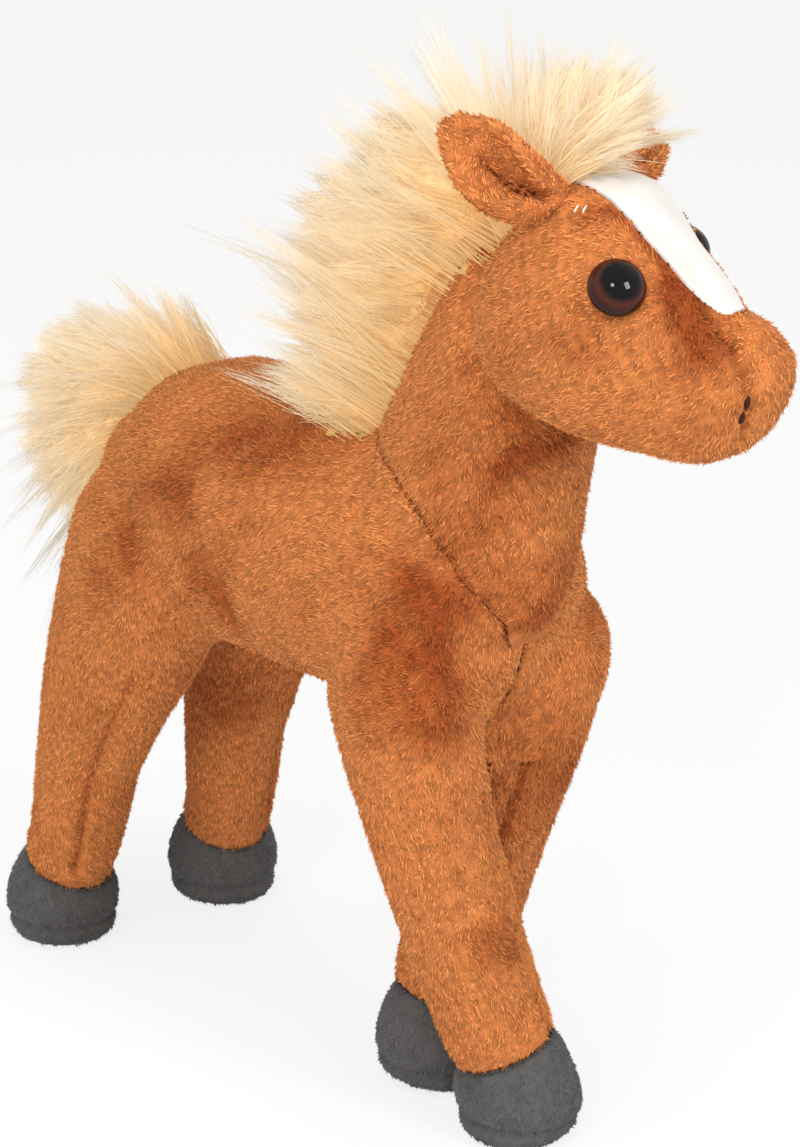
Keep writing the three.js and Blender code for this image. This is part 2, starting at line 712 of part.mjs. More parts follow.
function legPieces(leg) {
  const hip = vector(leg.hip);
  const form = legForm(leg);
  const ankle = ankleOf(form);
  const hoofOuter = hoofForm(leg, ankle);
  const seam = ankle.point.clone().addScaledVector(ankle.down, -seamGap);
  const aboveSeam = beyond(seam, ankle.down.clone().negate());
  const belowSeam = beyond(ankle.point, ankle.down);
  const aboveFloor = beyond(new THREE.Vector3(), upward);
  const aboveSole = beyond(new THREE.Vector3(0, 0, soleHeight + seamGap), upward);
  const inHoof = beyond(new THREE.Vector3(0, 0, hoofHeight / 2), downward);
  const sewnOpening = beyond(hip.clone().addScaledVector(upward, leg.topDepth / 3), upward);
  const legSolid = (inset) => solidOf(form, -inset).subtract(betweenLegs(leg, hipOffset + inset));
  const legShell = legSolid(0).subtract(legSolid(plushThickness));
  const throat = solidOf(form, -plushThickness);
  const within = solidOf(hoofOuter, -hoofClothThickness).add(throat.subtract(inHoof));
  const hoof = solidOf(hoofOuter)
    .intersect(belowSeam)
    .intersect(aboveFloor)
    .subtract(within.intersect(beyond(new THREE.Vector3(0, 0, soleThickness), upward)));
  const hoofCore = solidOf(hoofOuter, -hoofClothThickness - stuffingGap)
    .intersect(belowSeam)
    .intersect(beyond(new THREE.Vector3(0, 0, soleThickness + stuffingGap), upward));
  const legCore = legSolid(plushThickness + stuffingGap).subtract(inHoof);
  const cover = legShell.intersect(aboveSeam).subtract(sewnOpening);
  const sole = hoof.subtract(beyond(new THREE.Vector3(0, 0, soleHeight), upward));
  return groupAt(`${leg.name}_leg`, hip, [
    piece(`${leg.name}_leg_cover`, cover, brownPlush, hip),
    piece(`${leg.name}_leg_stuffing`, legCore.add(hoofCore), fibreStuffing, hip),
    piece(`${leg.name}_hoof_cover`, hoof.intersect(aboveSole), greyPlush, hip),
    piece(`${leg.name}_hoof_sole`, sole, greyPlush, hip),
  ]);
}

// The prism that the blaze is cut from the head's cover with, wider all round by the margin.
function blazePrism(margin) {
  const [top, end] = [blazeTopWidth / 2 + margin, blazeEndWidth / 2 + margin];
  const [rear, front] = [blazeStart - margin, blazeStart + blazeLength + margin];
  const outline = new THREE.Shape();
  outline.moveTo(rear, -top);
  outline.quadraticCurveTo(blazeStart + (2 * blazeLength) / 3, -top, front - end / 2, -end);
  outline.quadraticCurveTo(front, -end, front, 0);
  outline.quadraticCurveTo(front, end, front - end / 2, end);
  outline.quadraticCurveTo(blazeStart + (2 * blazeLength) / 3, top, rear, top);
  outline.closePath();
  const geometry = new THREE.ExtrudeGeometry(outline, {
    depth: headDepth,
    bevelEnabled: false,
    curveSegments: 4,
  });
  return solidFrom(geometry.translate(0, 0, blazeLowest));
}

// Each eye's middle on the head's cover and the way it looks. The right side is negative.
function eyeSeat(side) {
  const outward = side === "right" ? -1 : 1;
  return surfaceOf(head, new THREE.Vector3(eyeForward, 0, eyeRise), new THREE.Vector3(0, outward, 0));
}

function eyePieces(side) {
  const { point, normal } = eyeSeat(side);
  const inward = normal.clone().negate();
  const rim = eyeDomeHeight / 4;
  const profile = [new THREE.Vector2(0, -washerSetback), new THREE.Vector2(eyeDiameter / 2, -washerSetback)];
  const domeSteps = 5;
  for (let k = 0; k <= domeSteps; k += 1) {
    const angle = ((k / domeSteps) * Math.PI) / 2;
    const radius = k < domeSteps ? (Math.cos(angle) * eyeDiameter) / 2 : 0;
    profile.push(new THREE.Vector2(radius, rim + Math.sin(angle) * (eyeDomeHeight - rim)));
  }
  const lathe = new THREE.LatheGeometry(profile, wideSides);
  const button = solidFrom(lathe.rotateX(Math.PI / 2), along(point, normal)).subtract(solidOf(head, seatGap));
  const shankStart = point.clone().addScaledVector(normal, rim);
  const shank = rod(shankStart, inward, shankDiameter / 2, shankLength + rim);
  const washerTop = point.clone().addScaledVector(inward, washerSetback);
  const washer = rod(washerTop, inward, washerDiameter / 2, washerThickness).subtract(
    rod(point, inward, shankDiameter / 2 + shankClearance, shankLength),
  );
  const pocketDepth = washerSetback + washerThickness + stuffingGap;
  const washerRoom = rod(point, inward, washerDiameter / 2 + stuffingGap, pocketDepth);
  const shankRoom = rod(point, inward, shankDiameter / 2 + shankClearance, shankLength + stuffingGap);
  return {
    pieces: [
      piece(`eye_${side}`, button.add(shank), eyePlastic),
      piece(`eye_washer_${side}`, washer, washerPlastic),
    ],
    hole: rod(shankStart, inward, shankDiameter / 2 + shankClearance, shankLength),
    pocket: washerRoom.add(shankRoom),
  };
}

function nostrilPiece(side) {
  const outward = side === "right" ? -1 : 1;
  const origin = new THREE.Vector3(nostrilForward - muzzleRound, 0, nostrilRise);
  const reach = new THREE.Vector3(muzzleRound, outward * nostrilSpread, 0);
  const { point, normal } = surfaceOf(head, origin, reach);
  const up = upward.clone().addScaledVector(normal, -normal.z).normalize();
  const start = point.clone().addScaledVector(up, -stitchLength / 2).addScaledVector(normal, seatGap);
  const stitch = rod(start, up, stitchDiameter / 2, stitchLength).subtract(solidOf(head, seatGap));
  return piece(`nostril_stitch_${side}`, stitch, darkThread);
}

// An ear's place in the head's frame. It turns on an axis that lies along the head's surface.
function earPlace(side) {
  const outward = side === "right" ? -1 : 1;
  const lean = new THREE.Vector3(earLean[0], earLean[1] * outward, earLean[2]).normalize();
  const middleLine = new THREE.Vector3(earForward, 0, 0);
  const { point, normal } = surfaceOf(head, middleLine, new THREE.Vector3(0, earSpread * outward, earRise));
  const root = point.addScaledVector(normal, earRoll + seatGap);
  const across = new THREE.Vector3().crossVectors(lean, normal).normalize();
  const facing = new THREE.Vector3().crossVectors(across, lean);
  return new THREE.Matrix4().makeBasis(facing, across, lean).setPosition(root);
}

// The rolled root of an ear, grown by the margin and moved by a matrix.
function earRootSolid(margin, matrix = new THREE.Matrix4()) {
  const end = new THREE.Vector3(0, -earRollLength / 2 - margin, 0).applyMatrix4(matrix);
  const direction = leftward.clone().transformDirection(matrix);
  return rod(end, direction, earRoll + margin, earRollLength + 2 * margin);
}

// What is left of a fur piece once an ear has room in it.
function clearedForEar(solid, matrix) {
  return solid
    .subtract(solidOf(moved(earForm(0, 1), matrix), earRoom))
    .subtract(earRootSolid(swingGap, matrix));
}

function earGroup(side) {
  const place = earPlace(side);
  const inEar = place.clone().invert();
  const clear = (solid) =>
    [-earFlop, 0, earFlop].reduce((rest, degrees) => {
      const turn = turnAbout(new THREE.Vector3(), leftward, degrees).multiply(inEar);
      return rest.subtract(solidOf(moved(head, turn), swingGap));
    }, solid);
  const half = (earLayer + seamGap) / 2;
  const liningFullness = 0.86;
  const back = clear(solidOf(earForm(-half, 1))).add(earRootSolid(0));
  const lining = clear(solidOf(earForm(half, liningFullness))).subtract(earRootSolid(seamGap));
  const group = new THREE.Group();
  group.name = `ear_${side}`;
  group.applyMatrix4(place);
  group.add(piece(`ear_back_${side}`, back, brownPlush), piece(`ear_lining_${side}`, lining, brownPlush));
  return group;
}

function headGroup() {
  const eyes = ["right", "left"].map(eyePieces);
  const holes = eyes[0].hole.add(eyes[1].hole);
  const shell = solidOf(head).subtract(solidOf(head, -plushThickness)).subtract(holes);
  const sides = shell.subtract(blazePrism(seamGap));
  const rightHalf = beyond(new THREE.Vector3(0, -seamGap / 2, 0), leftward.clone().negate());
  const leftHalf = beyond(new THREE.Vector3(0, seamGap / 2, 0), leftward);
  const core = solidOf(head, -plushThickness - stuffingGap);
  const stuffing = eyes.reduce((rest, eye) => rest.subtract(eye.pocket), core);
  const forelock = ["right", "left"].reduce((rest, side) => {
    const flopped = (degrees) => earPlace(side).multiply(turnAbout(new THREE.Vector3(), leftward, degrees));
    return [-earFlop, 0, earFlop].reduce((left, degrees) => clearedForEar(left, flopped(degrees)), rest);
  }, solidOf(forelockForm()).subtract(solidOf(head, seatGap)));
  const group = new THREE.Group();
  group.name = "head";
  group.applyMatrix4(headPlace);
  group.add(
    piece("head_panel_right", sides.intersect(rightHalf), brownPlush),
    piece("head_panel_left", sides.intersect(leftHalf), brownPlush),
    piece("blaze_gusset", shell.intersect(blazePrism(0)), whitePlush),
    piece("head_stuffing", stuffing, fibreStuffing),
    ...eyes.flatMap((eye) => eye.pieces),
    nostrilPiece("right"),
    nostrilPiece("left"),
    piece("forelock_fur", forelock, creamFur),
    earGroup("right"),
    earGroup("left"),
  );
  return group;
}

function tailGroup() {
  const root = new THREE.Vector3(torsoRear + tailForward, 0, torsoHeight + tailRise);
  const clear = (solid) =>
    [-tailSwing, 0, tailSwing].reduce((rest, degrees) => {
      const turn = turnAbout(root, leftward, degrees);
      return rest.subtract(solidOf(moved(torso, turn), swingGap));
    }, solid);
  const form = tailForm(root);
  const inside = new THREE.Vector3(-1, 0, 0);
  const tape = rod(root, inside, tailTapeDiameter / 2, tailTapeLength);
  const room = rod(
    root.clone().addScaledVector(inside, -tailTapeLength),
    inside,
    tailTapeDiameter / 2 + seatGap,
    2 * tailTapeLength + seatGap,
  );
  return groupAt("tail", root, [
    piece("tail_fur", clear(solidOf(form)).subtract(room), creamFur, root),
    piece("tail_tape", clear(tape), furBacking, root),
  ]);
}

const foal = new THREE.Group();
foal.name = "plush_foal";
foal.add(...torsoPieces(), ...neckPieces(), headGroup(), tailGroup(), ...legs.map(legPieces));
foal.updateMatrixWorld(true);
const bounds = new THREE.Box3().setFromObject(foal, true);
const middle = bounds.getCenter(new THREE.Vector3());
foal.position.set(-middle.x, -middle.y, -bounds.min.z);

export default foal;
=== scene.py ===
import json
import math

import bpy
import numpy as np
from mathutils import Matrix, Vector
from mathutils.bvhtree import BVHTree
from mathutils.kdtree import KDTree


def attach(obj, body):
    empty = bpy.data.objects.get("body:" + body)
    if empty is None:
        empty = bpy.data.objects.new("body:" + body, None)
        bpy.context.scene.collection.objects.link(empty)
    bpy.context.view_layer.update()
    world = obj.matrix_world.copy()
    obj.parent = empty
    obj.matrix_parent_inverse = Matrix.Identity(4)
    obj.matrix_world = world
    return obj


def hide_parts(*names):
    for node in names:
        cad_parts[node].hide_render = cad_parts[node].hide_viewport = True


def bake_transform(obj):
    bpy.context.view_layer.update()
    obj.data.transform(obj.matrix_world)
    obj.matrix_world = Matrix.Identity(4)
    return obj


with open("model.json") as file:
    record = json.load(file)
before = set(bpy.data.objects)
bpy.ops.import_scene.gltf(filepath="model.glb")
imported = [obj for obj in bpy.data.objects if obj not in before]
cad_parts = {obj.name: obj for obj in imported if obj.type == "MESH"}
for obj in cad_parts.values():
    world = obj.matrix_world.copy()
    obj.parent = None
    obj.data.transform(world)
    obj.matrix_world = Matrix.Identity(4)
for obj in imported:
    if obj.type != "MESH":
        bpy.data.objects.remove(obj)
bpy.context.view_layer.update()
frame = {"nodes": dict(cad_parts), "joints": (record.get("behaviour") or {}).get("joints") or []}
mm = 0.001
rng = np.random.default_rng(11)


# Small tools

def pick(*objects):
    bpy.ops.object.select_all(action="DESELECT")
    for obj in objects:
        obj.select_set(True)
    bpy.context.view_layer.objects.active = objects[0]


def useModifier(obj, kind, **settings):
    pick(obj)
    modifier = obj.modifiers.new(kind, kind)
    for key, value in settings.items():
        setattr(modifier, key, value)
    bpy.ops.object.modifier_apply(modifier=modifier.name)


def joined(name, *objects):
    pick(*objects)
    bpy.ops.object.join()
    obj = bpy.context.view_layer.objects.active
    obj.name = obj.data.name = name
    return obj


def copyOfNodes(name, *nodes):  # the CAD nodes stay as they are
    pick(*[frame["nodes"][node] for node in nodes])
    bpy.ops.object.duplicate()
    copies = list(bpy.context.selected_objects)
    for obj in copies:
        obj.parent = None
        for key in list(obj.keys()):
            del obj[key]
    obj = joined(name, *copies) if len(copies) > 1 else copies[0]
    obj.name = obj.data.name = name
    obj.data.materials.clear()
    editMesh(obj, lambda: bpy.ops.mesh.remove_doubles(threshold=0.002 * mm))
    return obj


def editMesh(obj, work):
    pick(obj)
    bpy.ops.object.mode_set(mode="EDIT")
    bpy.ops.mesh.select_all(action="SELECT")
    work()
    bpy.ops.object.mode_set(mode="OBJECT")


def copyOf(obj, name):
    pick(obj)
    bpy.ops.object.duplicate()
    copy = bpy.context.view_layer.objects.active
    copy.name = copy.data.name = name
    return copy


def discard(*objects):
    for obj in objects:
        bpy.data.objects.remove(obj)


def meshObject(name, points, faces):
    mesh = bpy.data.meshes.new(name)
    mesh.from_pydata([tuple(p) for p in points], [], faces)
    obj = bpy.data.objects.new(name, mesh)
    bpy.context.collection.objects.link(obj)
    return obj


def pointsOf(obj):
    co = np.zeros(len(obj.data.vertices) * 3, np.float32)
    obj.data.vertices.foreach_get("co", co)
    return co.reshape(-1, 3).astype(float) / mm


def setPoints(obj, points):
    obj.data.vertices.foreach_set("co", (points * mm).astype(np.float32).ravel())
    obj.data.update()


def normalsOf(obj):
    no = np.zeros(len(obj.data.vertices) * 3, np.float32)
    obj.data.vertex_normals.foreach_get("vector", no)
    return no.reshape(-1, 3).astype(float)


def applyPlace(obj):
    pick(obj)
    bpy.ops.object.transform_apply(location=True, rotation=True, scale=True)


def cutWith(obj, cutter, operation):
    useModifier(obj, "BOOLEAN", operation=operation, object=cutter, solver="EXACT")


def slicePlane(obj, point, normal, keep="beyond"):  # keeps one side of the plane and closes the cut
    editMesh(obj, lambda: bpy.ops.mesh.bisect(
        plane_co=Vector(point) * mm, plane_no=normal, use_fill=True,
        clear_inner=keep == "beyond", clear_outer=keep == "before"))


def remesh(obj, voxel):
    useModifier(obj, "REMESH", mode="VOXEL", voxel_size=voxel * mm)


def smooth(obj, rounds):
    useModifier(obj, "SMOOTH", factor=0.5, iterations=rounds)


def swell(obj, distance):
    useModifier(obj, "DISPLACE", mid_level=0, strength=distance * mm)


def ramp(values, start, end):  # 0 up to the start, 1 from the end on; it falls where the end is the lower one
    return np.clip((values - start) / (end - start), 0, 1)


def prism(name, outline, low, high, place):  # an outline in x and y, raised from low to high
    count = len(outline)
    points = [(x, y, z) for z in (low, high) for x, y in outline]
    faces = [tuple(range(count - 1, -1, -1)), tuple(range(count, 2 * count))]
    faces += [(i, (i + 1) % count, (i + 1) % count + count, i + count) for i in range(count)]
    points = [place @ (Vector(p) * mm) for p in points]
    obj = meshObject(name, points, faces)
    editMesh(obj, lambda: bpy.ops.mesh.normals_make_consistent(inside=False))
    return obj


def smoothShade(obj, degrees=50):
    pick(obj)
    bpy.ops.object.shade_smooth_by_angle(angle=math.radians(degrees))


def flattened(vectors, normal):  # what is left of the vectors along the surface
    return vectors - (vectors * normal).sum(1, keepdims=True) * normal


def unit(vectors):
    vectors = np.asarray(vectors, float)
    return vectors / np.maximum(np.linalg.norm(vectors, axis=-1, keepdims=True), 1e-9)


noise = {"waves": 7, "lengths": (0.75, 1.5), "full": 3.2}


def wobble(points, size, seed):  # smooth noise from -1 to 1, with waves of about that size
    waves = np.random.default_rng(seed)
    total = np.zeros(len(points))
    for _ in range(noise["waves"]):
        direction = unit(waves.normal(size=3)) * (2 * math.pi / (size * waves.uniform(*noise["lengths"])))
        total += np.sin(points @ direction + waves.uniform(0, 2 * math.pi))
    return np.clip(total / noise["full"], -1, 1)


def lineDistance(points, line):  # from each point to a line of points
    line = np.asarray(line, float)
    best = np.full(len(points), 1e9)
    for a, b in zip(line[:-1], line[1:]):
        ab = b - a
        t = np.clip(((points - a) @ ab) / (ab @ ab), 0, 1)
        best = np.minimum(best, np.linalg.norm(points - a - t[:, None] * ab, axis=1))
    return best


def treeOf(obj):
    return BVHTree.FromObject(obj, bpy.context.evaluated_depsgraph_get())


def surfacePoint(tree, start, direction):  # where a line from inside leaves the skin
    start, direction = Vector(start) * mm, Vector(direction).normalized()
    pastTheSkin = 0.05 * mm
    hit = None
    while True:
        place, normal, _, _ = tree.ray_cast(start, direction)
        if place is None:
            return hit
        hit = (np.array(place) / mm, np.array(normal))
        start = place + direction * pastTheSkin


def setAttribute(mesh, name, values):
    values = np.asarray(values, np.float32)
    kind, field = ("FLOAT", "value") if values.ndim == 1 else ("FLOAT_VECTOR", "vector")
    attribute = mesh.attributes.get(name) or mesh.attributes.new(name, kind, "POINT")
    attribute.data.foreach_set(field, values.ravel())


# Materials

def colour(hexCode):  # sRGB hex to linear
    parts = [int(hexCode[i:i + 2], 16) / 255 for i in (0, 2, 4)]
    return tuple(p / 12.92 if p <= 0.04045 else ((p + 0.055) / 1.055) ** 2.4 for p in parts) + (1,)


def addNode(tree, kind, inputs=None, **settings):
    node = tree.nodes.new(kind)
    for name, value in settings.items():
        setattr(node, name, value)
    for name, value in (inputs or {}).items():
        if isinstance(value, bpy.types.NodeSocket):
            tree.links.new(value, node.inputs[name])
        else:
            node.inputs[name].default_value = value
    return node


def newMaterial(name, roughness, **values):
    material = bpy.data.materials.new(name)
    material.use_nodes = True
    tree = material.node_tree
    shader = tree.nodes["Principled BSDF"]
    shader.inputs["Roughness"].default_value = roughness
    for key, value in values.items():
        shader.inputs[key].default_value = value
    return material, tree, shader


mixed = {"data_type": "RGBA"}
multiplied = {"data_type": "RGBA", "blend_type": "MULTIPLY"}


def shaded(tree, tone, value, **limits):  # a colour made lighter and darker by a value
    level = addNode(tree, "ShaderNodeMapRange", {"Value": value, **limits}).outputs[0]
    grey = addNode(tree, "ShaderNodeCombineColor", {"Red": level, "Green": level, "Blue": level}).outputs[0]
    return addNode(tree, "ShaderNodeMix", {0: 1.0, 6: tone, 7: grey}, **multiplied).outputs[2]


def plushMaterial(name, plush):
    material, tree, shader = newMaterial(name, plush["roughness"], **{
        "Sheen Weight": plush["sheen"], "Sheen Roughness": 0.4,
        "Sheen Tint": colour(plush["sheenTint"]), "Specular IOR Level": 0.2})
    brushedShade, tip, toneAndShade = (addNode(tree, "ShaderNodeAttribute", attribute_name=attribute).outputs["Fac"]
                          for attribute in ("brushedShade", "tip", "toneAndShade"))
    # painted shade: the dark tone where the pile is brushed against its lie and lies in shade
    lieAndShade = addNode(tree, "ShaderNodeMix", {
        0: brushedShade, 6: colour(plush["light"]), 7: colour(plush["dark"])}, **mixed).outputs[2]
    # painted shade: the roots of the tufts and the cloth under them darken towards the root colour
    deep = addNode(tree, "ShaderNodeMix", {
        0: tip, 6: colour(plush["root"]), 7: (1, 1, 1, 1)}, **mixed).outputs[2]
    whole = addNode(tree, "ShaderNodeMix", {0: 1.0, 6: lieAndShade, 7: deep}, **multiplied).outputs[2]
    # the tone varies at random and carries painted shade between clumps and beside seams
    varied = shaded(tree, whole, toneAndShade, **{"To Min": 1 - plush["variation"], "To Max": 1 + plush["variation"]})
    tree.links.new(varied, shader.inputs["Base Color"])
    place = addNode(tree, "ShaderNodeTexCoord").outputs["Object"]
    grain = addNode(tree, "ShaderNodeTexNoise", {
        "Vector": place, "Scale": 1 / (plush["grain"] * mm), "Detail": 2.0})
    bump = addNode(tree, "ShaderNodeBump", {
        "Height": grain.outputs["Fac"], "Strength": 0.5, "Distance": plush["grainDepth"] * mm})
    tree.links.new(bump.outputs[0], shader.inputs["Normal"])
    return material


# Sheared polyester pile: matt, with painted shade at the roots of the tufts and on the cloth under them, and
# patches of painted shade where the pile lies in shade and where a hand has brushed it against its lie
brownPlush = plushMaterial("shearedBrownPolyesterPlush", {
    "light": "FFA75F", "dark": "C66831", "root": "744330", "sheen": 0.1, "sheenTint": "FFB27A",
    "roughness": 0.95, "variation": 0.44, "grain": 0.9, "grainDepth": 0.35})
greyPlush = plushMaterial("shearedGreyPolyesterPlush", {
    "light": "737271", "dark": "4B4A48", "root": "8C8A88", "sheen": 0.15, "sheenTint": "D8DADC",
    "roughness": 0.95, "variation": 0.22, "grain": 0.9, "grainDepth": 0.3})
# Short tricot plush: so fine that only a faint grain shows
whitePlush = plushMaterial("shortWhiteTricotPlush", {
    "light": "F6F4F1", "dark": "E9E5E0", "root": "E4E0DC", "sheen": 0.2, "sheenTint": "FFFFFF",
    "roughness": 0.85, "variation": 0.03, "grain": 0.6, "grainDepth": 0.12})


def furMaterial(name, fur):  # modacrylic hair: pale tips, golden roots that are partly the hair's own tone and partly painted shade, a painted glow, a soft gloss along each hair
    material, tree, shader = newMaterial(name, 0.55, **{
        "Sheen Weight": 0.25, "Sheen Roughness": 0.35, "Sheen Tint": colour("FFF4DC"),
        "Specular IOR Level": 0.35, "Emission Strength": fur["inner"]})
    along, toneAndShade = (addNode(tree, "ShaderNodeAttribute", attribute_name=attribute).outputs["Fac"]
                   for attribute in ("along", "toneAndShade"))
    tones = addNode(tree, "ShaderNodeValToRGB", {"Fac": along})
    tones.color_ramp.elements[0].color = colour(fur["root"])
    tones.color_ramp.elements[1].color = colour(fur["tip"])
    tones.color_ramp.elements.new(fur["middleAt"]).color = colour(fur["middle"])
    varied = shaded(tree, tones.outputs[0], toneAndShade, **{"To Min": 0.9, "To Max": 1.08})
    combed = addNode(tree, "ShaderNodeAttribute", attribute_name="combed").outputs["Vector"]
    streaks = addNode(tree, "ShaderNodeTexNoise", {
        "Vector": combed, "Scale": 1 / (fur["streak"] * mm), "Detail": 3.0}).outputs["Fac"]
    bump = addNode(tree, "ShaderNodeBump", {
        "Height": streaks, "Strength": 0.9, "Distance": fur["streakDepth"] * mm})
    tree.links.new(bump.outputs[0], shader.inputs["Normal"])
    # painted shade: the hollows between the combed streaks are darker
    varied = shaded(tree, varied, streaks, **{
        "From Min": 0.35, "From Max": 0.6, "To Min": 0.8, "To Max": 1.05})
    tree.links.new(varied, shader.inputs["Base Color"])
    tree.links.new(varied, shader.inputs["Emission Color"])  # a painted glow, which stands for light passed on from fibre to fibre
    through = addNode(tree, "ShaderNodeBsdfTranslucent", {"Color": varied})  # light shines through thin hair
    both = addNode(tree, "ShaderNodeMixShader", {
        0: fur["through"], 1: shader.outputs[0], 2: through.outputs[0]})
    tree.links.new(both.outputs[0], tree.nodes["Material Output"].inputs["Surface"])
    return material


# Knitted backing in the fur's own tone: matt, it lets the roots look dense
furBacking, _, _ = newMaterial("knittedFurBacking", 0.9, **{"Base Color": colour("D9B26A")})
furReach = 1.6  # mm round a fur root that the backing covers
# inner is the strength of the fur's painted glow
creamFur = furMaterial("creamModacrylicFur", {
    "root": "E9BC78", "middle": "F9DDAF", "tip": "FFF4E0", "middleAt": 0.42, "streak": 0.55,
    "streakDepth": 0.5, "inner": 0.5, "through": 0.45})
threadRibs = {"pitch": 0.9, "depth": 0.1}


def threadMaterial(name, hexCode):  # spun polyester thread, twisted, so it has fine slanted ribs
    material, tree, shader = newMaterial(name, 0.7, **{
        "Base Color": colour(hexCode), "Specular IOR Level": 0.15})
    place = addNode(tree, "ShaderNodeTexCoord").outputs["Object"]
    twist = addNode(tree, "ShaderNodeTexWave", {
        "Vector": place, "Scale": 1 / (threadRibs["pitch"] * mm), "Distortion": 2.0})
    bump = addNode(tree, "ShaderNodeBump", {
        "Height": twist.outputs["Fac"], "Strength": 0.4, "Distance": threadRibs["depth"] * mm})
    tree.links.new(bump.outputs[0], shader.inputs["Normal"])
    return material


darkThread = threadMaterial("darkSpunPolyesterThread", "3A1C0E")
paleThread = threadMaterial("paleSpunPolyesterThread", "F1E9DC")


def eyeMaterial():  # a clear moulded dome over a painted back: black pupil, dark brown ring
    material, tree, shader = newMaterial("mouldedPolycarbonateEye", 0.02, **{
        "IOR": 1.5, "Specular IOR Level": 0.2})
    reach = addNode(tree, "ShaderNodeAttribute", attribute_name="reach").outputs["Fac"]
    rings = addNode(tree, "ShaderNodeValToRGB", {"Fac": reach})
    elements = rings.color_ramp.elements
    elements[0].color = colour("050303")
    elements[1].color = colour("140806")
    for position, code in ((0.62, "070404"), (0.70, "2A1410"), (0.80, "4A1F16"), (0.93, "33130D")):
        elements.new(position).color = colour(code)
    tree.links.new(rings.outputs[0], shader.inputs["Base Color"])
    return material


eyePlastic = eyeMaterial()

# Patches of painted shade, where the pile lies in shade and where it is brushed against its lie: middle in
# mm, reach in mm, strength
brushedShadePatches = [
    ((-25, -34, 163), 12, 0.9), ((12, -17, 184), 14, 0.9), ((-3, -26, 177), 12, 0.8),
    ((-40, -37, 141), 9, 0.8), ((-13, -34, 131), 9, 0.7), ((72, -27, 157), 11, 0.9),
    ((76, -26, 145), 11, 0.9), ((75, -36, 131), 13, 0.6),
    ((81, -27, 121), 10, 0.6), ((90, 0, 152), 12, 0.9), ((89, -15, 188), 13, 0.8), ((96, -7, 196), 10, 0.8),
    ((136, 1, 248), 8, 0.8), ((142, -1, 230), 9, 0.8), ((128, -6, 253), 8, 0.8), ((88, -15, 60), 8, 0.5),
    ((-47, -39, 124), 8, 0.6), ((-59, 11, 80), 14, 0.8), ((70, 21, 95), 16, 0.8), ((76, 32, 136), 9, 0.5),
    ((82, -19, 173), 8, 0.5), ((-25, 34, 163), 14, 0.8), ((20, 30, 170), 14, 0.7), ((60, 32, 150), 14, 0.8),
    ((-50, 37, 125), 12, 0.7), ((95, 25, 230), 9, 0.6), ((-72, 0, 150), 14, 0.6),
    ((134, -4, 246), 7, 0.8), ((139, -1, 238), 7, 0.8), ((121, -10, 260), 6, 0.6), ((124, -20, 236), 7, 0.5),
    ((146, 6, 229), 6, 0.6), ((-4, -35, 139), 7, 0.8), ((83, -18, 217), 9, 0.6),
]
brushedShadeNoise = {"warp": 5, "warpSize": 22, "broad": 0.16, "broadSize": 26, "fine": 0.1, "fineSize": 9}


def brushedShadeAt(points):  # 0 where the pile lies light, 1 where it takes painted shade, in shade and brushed against its lie, with ragged edges
    warped = points + brushedShadeNoise["warp"] * np.stack([
        wobble(points, brushedShadeNoise["warpSize"], seed) for seed in (31, 32, 33)], 1)
    total = brushedShadeNoise["broad"] * wobble(points, brushedShadeNoise["broadSize"], 34)
    total = total + brushedShadeNoise["fine"] * wobble(points, brushedShadeNoise["fineSize"], 35)
    for middle, reach, strength in brushedShadePatches:
        away = np.linalg.norm(warped - np.array(middle), axis=1) / reach
        total = total + strength * np.exp(-away ** 2)
    return np.clip(total, 0, 1)


# Sewn seams: a groove in the skin and shorter pile beside it

headJoint = next(j for j in frame["joints"] if j["name"] == "head_nod")
headOrigin = Vector(headJoint["pos_m"])
headSide = Vector(headJoint["axis"]).normalized()
headFront = headSide.cross(Vector((0, 0, 1)))
headFrame = Matrix((headFront, headSide, Vector((0, 0, 1)))).transposed().to_4x4()
headFrame.translation = headOrigin
headArray = np.array(headFrame)


def inHead(points):  # from the part's frame to the head's own: x ahead, y to the side, z up
    return (points - headArray[:3, 3] / mm) @ headArray[:3, :3]


def fromHead(points):
    return np.asarray(points, float) @ headArray[:3, :3].T + headArray[:3, 3] / mm


middleY = 0.48  # the toy's middle plane
neckSeam = [
    (20, 203), (31, 189.5), (44, 187.5), (57, 184.4), (69, 176), (77.4, 165.5), (83, 155.5), (86, 147.5),
    (83.4, 139.5),
]
chestSeam = {"behind": 50, "top": 140}
backSeam = {"front": 30, "below": 160}
hipDart = [(-12, 144), (-4.8, 147), (-1, 141), (-2, 130), (-3, 118)]
dartSizes = {"spread": 0.7, "inward": 20, "fade": 9}
bellySeam = {"half": 16.5, "rear": -16, "front": 30, "top": 126}
blazeNear = [  # half-widths beside the seen cheek, from the poll to the nose
    (-14, 5), (-8, 7), (-3, 8.6), (2, 9.8), (6, 11.2), (11, 12.8), (17.5, 13.6), (23.5, 12.7), (28.2, 12.2),
    (31.5, 10.6), (34.4, 7.6), (36.2, 3.6), (36.8, 0),
]
blazeFar = [
    (-14, 6), (-8, 10), (-3, 13.5), (2, 16), (6, 17.4), (11, 18.2), (17.5, 18.4), (23.5, 17.4), (28.2, 15.4),
    (31.5, 13.2), (34.4, 10), (36.2, 5.6), (36.8, 0),
]
blazeBottom = -3
muzzleSeam = [
    (33, 11.8, 4.3), (36, 10.9, 0.3), (40.3, 11.8, -5), (43.7, 13.4, -12.6), (45, 13, -22), (42, 9, -30),
]
chinSeam = [(-8, 0, -32), (10, 0, -33), (28, 0, -33), (42, 0, -32), (49, 0, -24)]
groove = {"depth": 2.3, "blazeDepth": 0.4, "width": 1.4, "hollow": 0.35, "hollowWidth": 3.5}
